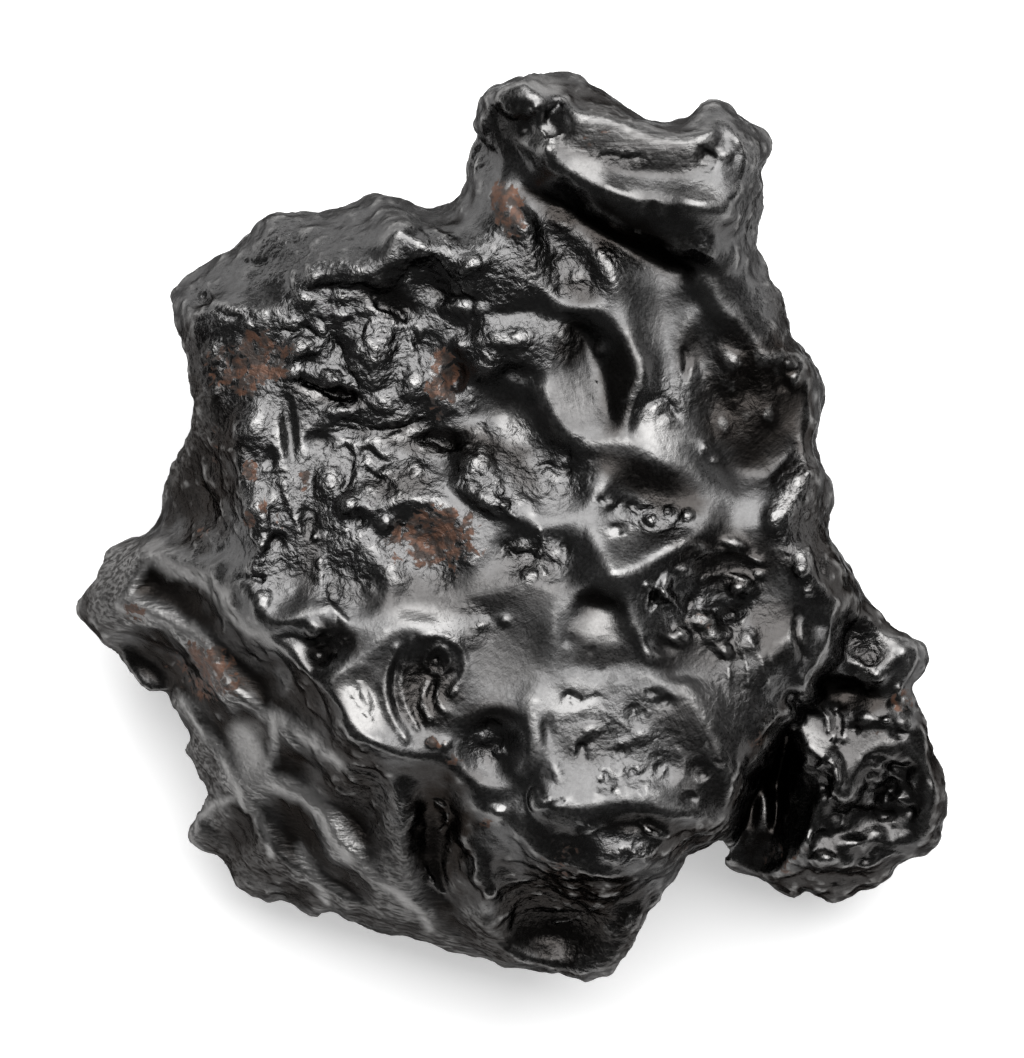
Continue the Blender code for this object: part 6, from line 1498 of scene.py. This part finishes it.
class NodeSheet:
    """Adds and joins the nodes of one material."""

    def __init__(self, tree: bpy.types.NodeTree) -> None:
        """Keep the node tree."""
        self.tree = tree

    def add(self, kind: str, inputs: dict[str | int, object] | None = None,
            **settings: object) -> bpy.types.Node:
        """Add one node.

        Args:
            kind: the node's type, without its ShaderNode prefix.
            inputs: sockets or plain values for its inputs, by name or place.
            settings: values for the node's own properties.

        Returns:
            The new node.
        """
        node = self.tree.nodes.new("ShaderNode" + kind)
        for name, value in settings.items():
            setattr(node, name, value)
        for name, value in (inputs or {}).items():
            if isinstance(value, bpy.types.NodeSocket):
                self.tree.links.new(value, node.inputs[name])
            else:
                node.inputs[name].default_value = value
        return node

    def math(self, operation: str, *values: object) -> bpy.types.NodeSocket:
        """Return the result of a Math node."""
        return self.add("Math", dict(enumerate(values)), operation=operation).outputs[0]

    def ramp(self, value: object, low: float, high: float, to_low: float = 0.0,
             to_high: float = 1.0) -> bpy.types.NodeSocket:
        """Return a value carried smoothly from one range to another."""
        inputs = {"Value": value, 1: low, 2: high, 3: to_low, 4: to_high}
        return self.add("MapRange", inputs, interpolation_type="SMOOTHSTEP").outputs[0]

    def mixed(self, share: object, first: object, second: object) -> bpy.types.NodeSocket:
        """Return one colour turned into another by a share."""
        return self.add("Mix", {0: share, 6: first, 7: second}, data_type="RGBA").outputs[2]

    def blended(self, share: object, first: object, second: object) -> bpy.types.NodeSocket:
        """Return one number turned into another by a share."""
        return self.add("Mix", {0: share, 2: first, 3: second}, data_type="FLOAT").outputs[0]

    def value(self, name: str) -> bpy.types.NodeSocket:
        """Return a number that the mesh holds for each vertex."""
        return self.add("Attribute", attribute_name=name).outputs["Fac"]

    def sums(self, *values: object) -> bpy.types.NodeSocket:
        """Return the sum of several values."""
        total = values[0]
        for value in values[1:]:
            total = self.math("ADD", total, value)
        return total


@dataclass(frozen=True)
class CrustFinish:
    """The crust of melted iron oxide: colours with painted shade and painted highlights, gloss and fine
    relief.
    """

    crust: Point = (0.092, 0.091, 0.091, 1)
    dark_crust: Point = (0.058, 0.057, 0.057, 1)
    # exposed metal of rubbed crests, also laid on as painted highlight
    bare_and_highlight: Point = (0.31, 0.305, 0.3, 1)
    # painted shade colour, near black
    painted_shade_colour: Point = (0.023, 0.0205, 0.019, 1)
    rust: Point = (0.032, 0.023, 0.019, 1)
    ochre: Point = (0.095, 0.045, 0.027, 1)
    edge_tint: Point = (0.3, 0.3, 0.3, 1)
    metallic: float = 1.0
    rust_metallic: float = 0.35
    rust_cover: float = 0.85
    gloss: float = 0.28
    sparkle: float = 0.22
    satin: float = 0.35
    rough: float = 0.46
    rust_rough: float = 0.55
    fleck: float = 0.06
    fibre_run: Point = (0, 0, 0.6435)
    fibre_draw: Point = (0.16, 1, 1)
    hair_draw: Point = (0.02, 0.55, 0.05)
    wave_scale: float = 350.0
    wave_reach: float = 1.6
    cell_scale: float = 950.0
    ledge_size: float = 3.2
    ledge_count: float = 7.0
    cell_depth: float = -0.13
    ledge_height: float = 0.02
    crinkle_height: float = 0.28
    hair_height: float = 0.035
    fibre_height: float = 0.14
    grain_height: float = 0.02
    ripple_height: float = 0.06
    bump: float = 1.0

    def material(self) -> bpy.types.Material:
        """Build the crust's material."""
        material = bpy.data.materials.new(SLOT)
        material.use_nodes = True
        tree = material.node_tree
        shader = tree.nodes["Principled BSDF"]
        sheet = NodeSheet(tree)
        place = sheet.add("TexCoord").outputs["Object"]
        shares = {kind: sheet.value(kind.value) for kind in Crust}
        tree.links.new(self._colour(sheet, place, shares), shader.inputs["Base Color"])
        tree.links.new(self._roughness(sheet, place, shares), shader.inputs["Roughness"])
        tree.links.new(self._metallic(sheet, place, shares), shader.inputs["Metallic"])
        tree.links.new(self._relief(sheet, place, shares), shader.inputs["Normal"])
        shader.inputs["Specular Tint"].default_value = self.edge_tint
        return material

    def _grain(self, sheet: NodeSheet, place: object, size: float, detail: float = 2.0,
               distortion: float = 0.0) -> bpy.types.NodeSocket:
        """Return noise from 0 to 1 whose grains have the given size in mm."""
        inputs = {"Vector": place, "Scale": 1 / (size * MM), "Detail": detail, "Distortion": distortion}
        return sheet.add("TexNoise", inputs).outputs[0]

    def _colour(self, sheet: NodeSheet, place: object, shares: dict) -> bpy.types.NodeSocket:
        """Return the base colour: crust, painted shade, exposed metal with painted highlights, and rust."""
        uneven = sheet.ramp(self._grain(sheet, place, 1.6, 4), 0.3, 0.7, 0.0, 0.35)
        colour = sheet.mixed(uneven, self.crust, self.dark_crust)
        # painted shade: near-black colour where hollows, sides and shade patches should look dark
        colour = sheet.mixed(self._painted_shade_share(sheet, shares), colour, self.painted_shade_colour)
        # painted highlights, partly rubbed metal, on crests and in the highlight patches
        colour = sheet.mixed(self._wear_and_highlight_share(sheet, place, shares), colour, self.bare_and_highlight)
        tone = sheet.ramp(self._grain(sheet, place, 1.4, 6), 0.4, 0.6)
        rusted = sheet.mixed(tone, self.rust, self.ochre)
        return sheet.mixed(self._rusty(sheet, place, shares), colour, rusted)

    def _painted_shade_share(self, sheet: NodeSheet, shares: dict) -> bpy.types.NodeSocket:
        """Return where shade is painted: in the shade patches and streaks, in hollows, and most of all in
        the hollows of the fibrous flank.
        """
        # painted shade in concave places, as if they lay in shadow
        deep = sheet.math("MULTIPLY", sheet.ramp(sheet.value("relief"), -0.25, -1.1), 0.55)
        painted_shade = sheet.math("MAXIMUM", deep, shares[Crust.PAINTED_SHADE])
        sunk = sheet.ramp(sheet.value("bowl"), 0.7, -0.6, 0.3, 1.0)
        return sheet.math("MAXIMUM", painted_shade, sheet.math("MULTIPLY", sunk, shares[Crust.FIBROUS]))

    def _wear_and_highlight_share(self, sheet: NodeSheet, place: object, shares: dict) -> bpy.types.NodeSocket:
        """Return where painted highlights and exposed metal show: crests, highlight patches, flank fibre
        crests.
        """
        speckle = sheet.ramp(self._grain(sheet, place, 0.9, 3), 0.35, 0.65, 0.3, 1.0)
        # sharp crests: partly rubbed metal, partly painted highlight
        ridges = sheet.math("MULTIPLY", sheet.ramp(sheet.value("ridge"), 0.03, 0.16), speckle)
        boost = sheet.ramp(shares[Crust.FIBROUS], 0.0, 0.6, 1.0, 1.9)
        wear_and_painted_highlight = sheet.math("MAXIMUM", ridges, sheet.math("MULTIPLY", shares[Crust.WEAR_AND_HIGHLIGHT], boost))
        threads = sheet.ramp(self._fibres(sheet, place), 0.4, 0.6, 0.1, 1.0)
        # painted highlight on the convex fibre crests of the flank, lessened where shade is painted
        crest = sheet.ramp(sheet.value("bowl"), 0.15, 1.0)
        fibre_crest_highlight = sheet.math("MULTIPLY", shares[Crust.FIBROUS], sheet.math("MULTIPLY", threads, crest))
        unshaded = sheet.ramp(shares[Crust.PAINTED_SHADE], 0.1, 0.9, 1.0, 0.2)
        return sheet.math("MAXIMUM", sheet.math("MULTIPLY", wear_and_painted_highlight, 0.5), sheet.math("MULTIPLY", fibre_crest_highlight, unshaded))

    def _fibres(self, sheet: NodeSheet, place: object) -> bpy.types.NodeSocket:
        """Return noise drawn out along the run of the fibrous flank."""
        inputs = {"Vector": place, "Rotation": self.fibre_run, "Scale": self.fibre_draw}
        return self._grain(sheet, sheet.add("Mapping", inputs).outputs[0], 0.55, 4)

    def _rusty(self, sheet: NodeSheet, place: object, shares: dict) -> bpy.types.NodeSocket:
        """Return where rust shows: mottled inside its patches."""
        mottle = sheet.ramp(self._grain(sheet, place, 1.3, 6, 0.6), 0.32, 0.68, 0.12, 1.0)
        edge = sheet.math("SUBTRACT", shares[Crust.RUST], mottle)
        return sheet.ramp(edge, -0.04, 0.3, 0.0, self.rust_cover)

    def _roughness(self, sheet: NodeSheet, place: object, shares: dict) -> bpy.types.NodeSocket:
        """Return the roughness: glossy crust, sparkling scales, satin skin, dull fibres and rust."""
        value = sheet.blended(shares[Crust.SCALY], self.gloss, self.sparkle)
        value = sheet.blended(shares[Crust.SATIN], value, self.satin)
        value = sheet.blended(shares[Crust.FIBROUS], value, self.rough)
        value = sheet.blended(self._rusty(sheet, place, shares), value, self.rust_rough)
        fleck = sheet.ramp(self._grain(sheet, place, 0.45, 3), 0.3, 0.7, -self.fleck, self.fleck)
        return sheet.math("ADD", value, fleck)

    def _metallic(self, sheet: NodeSheet, place: object, shares: dict) -> bpy.types.NodeSocket:
        """Return the metallic value: rust has little of it."""
        return sheet.blended(self._rusty(sheet, place, shares), self.metallic, self.rust_metallic)

    def _relief(self, sheet: NodeSheet, place: object, shares: dict) -> bpy.types.NodeSocket:
        """Return the normal that the fine relief gives, from heights in mm."""
        wavy = self._wavy(sheet, place)
        crackle = sheet.ramp(shares[Crust.SCALY], 0.0, 1.0, 0.10, 1.0)
        height = sheet.sums(
            sheet.math("MULTIPLY", self._scales(sheet, wavy), crackle),
            sheet.math("MULTIPLY", sheet.math("MULTIPLY", self._hairs(sheet), shares[Crust.SATIN]),
                       self.hair_height),
            sheet.math("MULTIPLY", sheet.math("MULTIPLY", self._fibres(sheet, place),
                                              shares[Crust.FIBROUS]), self.fibre_height),
            sheet.math("MULTIPLY", self._grain(sheet, place, 0.3, 3), self.grain_height),
            sheet.math("MULTIPLY", self._grain(sheet, wavy, 1.1, 3), self.ripple_height))
        inputs = {"Strength": self.bump, "Distance": MM, "Height": height}
        return sheet.add("Bump", inputs).outputs["Normal"]

    def _wavy(self, sheet: NodeSheet, place: object) -> bpy.types.NodeSocket:
        """Return the place shifted a little to and fro, so that nothing lies in straight rows."""
        inputs = {"Vector": place, "Scale": self.wave_scale, "Detail": 2.0}
        warp = sheet.add("TexNoise", inputs).outputs["Color"]
        reach = (self.wave_reach * MM,) * 3
        shift = sheet.add("VectorMath", {0: warp, 1: reach}, operation="MULTIPLY").outputs[0]
        return sheet.add("VectorMath", {0: place, 1: shift}, operation="ADD").outputs[0]

    def _scales(self, sheet: NodeSheet, wavy: object) -> bpy.types.NodeSocket:
        """Return the relief of the scaly crust: small cells, low ledges and crinkles."""
        cells = sheet.add("TexVoronoi", {"Vector": wavy, "Scale": self.cell_scale}).outputs["Distance"]
        steps = sheet.math("MULTIPLY", self._grain(sheet, wavy, self.ledge_size, 2), self.ledge_count)
        ledges = sheet.ramp(sheet.math("PINGPONG", steps, 0.5), 0.0, 0.14, -1.0, 0.0)
        return sheet.sums(sheet.math("MULTIPLY", cells, self.cell_depth),
                          sheet.math("MULTIPLY", ledges, self.ledge_height),
                          sheet.math("MULTIPLY", self._grain(sheet, wavy, 0.9, 5), self.crinkle_height))

    def _hairs(self, sheet: NodeSheet) -> bpy.types.NodeSocket:
        """Return hair lines that run out from the middle of the main face."""
        flow = sheet.add("Attribute", attribute_name="flow").outputs["Vector"]
        hair = sheet.add("VectorMath", {0: flow, 1: self.hair_draw}, operation="MULTIPLY").outputs[0]
        return sheet.add("TexNoise", {"Vector": hair, "Scale": 1.0, "Detail": 3.0}).outputs[0]


@dataclass(frozen=True)
class Lamp:
    """A square softbox: azimuth from +Y towards +X and elevation in degrees, distance, side, power."""

    name: str
    azimuth: float
    elevation: float
    distance: float
    side: float
    power: float


@dataclass
class Studio:
    """A pale floor, soft lamps and a camera that looks straight down."""

    sheet: PlanSheet
    lens: float = 700.0
    sensor: float = 36.0
    floor_side: float = 6.0
    floor_colour: Point = (0.9, 0.9, 0.9, 1)
    floor_rough: float = 0.9
    floor_glow: float = 0.4
    room_light: float = 0.09
    backdrop: float = 0.85
    focus_height: float = 45.0
    lamps: tuple[Lamp, ...] = (
        Lamp("key_softbox", 16.0, 59.0, 1.0, 1.1, 16.8),
        Lamp("wide_softbox", 16.0, 59.0, 1.1, 2.2, 16.0),
    )

    def build(self) -> None:
        """Set up the floor, the lamps, the room and the camera."""
        self._floor()
        for lamp in self.lamps:
            self._lamp(lamp)
        self._room()
        self._camera()
        bpy.context.scene.view_settings.view_transform = "Standard"

    def _floor(self) -> None:
        """Lay the floor that the stone rests on."""
        bpy.ops.object.select_all(action="DESELECT")
        bpy.ops.mesh.primitive_plane_add(size=self.floor_side)
        floor = bpy.context.object
        floor.name = "floor"
        material = bpy.data.materials.new("floor_paper")
        material.use_nodes = True
        shader = material.node_tree.nodes["Principled BSDF"]
        shader.inputs["Base Color"].default_value = self.floor_colour
        shader.inputs["Roughness"].default_value = self.floor_rough
        shader.inputs["Specular IOR Level"].default_value = 0.0
        shader.inputs["Emission Color"].default_value = (1, 1, 1, 1)
        shader.inputs["Emission Strength"].default_value = self.floor_glow
        floor.data.materials.append(material)

    def _lamp(self, lamp: Lamp) -> None:
        """Hang one softbox so that it faces the stone."""
        light = bpy.data.lights.new(lamp.name, "AREA")
        light.shape = "SQUARE"
        light.size = lamp.side
        light.energy = lamp.power
        hung = bpy.data.objects.new(lamp.name, light)
        azimuth, elevation = math.radians(lamp.azimuth), math.radians(lamp.elevation)
        level = math.cos(elevation)
        away = Vector((math.sin(azimuth) * level, math.cos(azimuth) * level, math.sin(elevation)))
        hung.location = away * lamp.distance
        hung.rotation_euler = away.to_track_quat("Z", "Y").to_euler()
        hung.visible_camera = False
        bpy.context.scene.collection.objects.link(hung)

    def _room(self) -> None:
        """Give the dark room its faint light, and a pale backdrop past the floor's edge."""
        world = bpy.data.worlds.new("room")
        world.use_nodes = True
        sheet = NodeSheet(world.node_tree)
        background = world.node_tree.nodes["Background"]
        seen = sheet.add("LightPath").outputs["Is Camera Ray"]
        background.inputs["Color"].default_value = (1, 1, 1, 1)
        strength = sheet.blended(seen, self.room_light, self.backdrop)
        world.node_tree.links.new(strength, background.inputs["Strength"])
        bpy.context.scene.world = world

    def _camera(self) -> None:
        """Aim the camera straight down so that the plan sheet fills the picture."""
        camera = bpy.data.cameras.new("camera")
        camera.lens = self.lens
        camera.sensor_width = self.sensor
        frame_height = self.sheet.height * self.sheet.unit * MM
        middle = self.sheet.to_space(self.sheet.width / 2, self.sheet.height / 2, self.focus_height)
        held = bpy.data.objects.new("camera", camera)
        held.location = Vector(middle) + Vector((0, 0, frame_height * self.lens / self.sensor))
        camera.clip_end = 100.0
        bpy.context.scene.collection.objects.link(held)
        bpy.context.scene.camera = held


def main() -> None:
    """Build the stone and the studio."""
    logging.basicConfig(level=logging.INFO, format="%(name)s: %(message)s")
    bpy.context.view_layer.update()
    sheet = PlanSheet()
    stone = Meteorite(sheet).build()
    stone.data.materials.clear()
    stone.data.materials.append(CrustFinish().material())
    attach(stone, BODY)
    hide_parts(NODE)
    Studio(sheet).build()


if __name__ == "__main__":
    main()
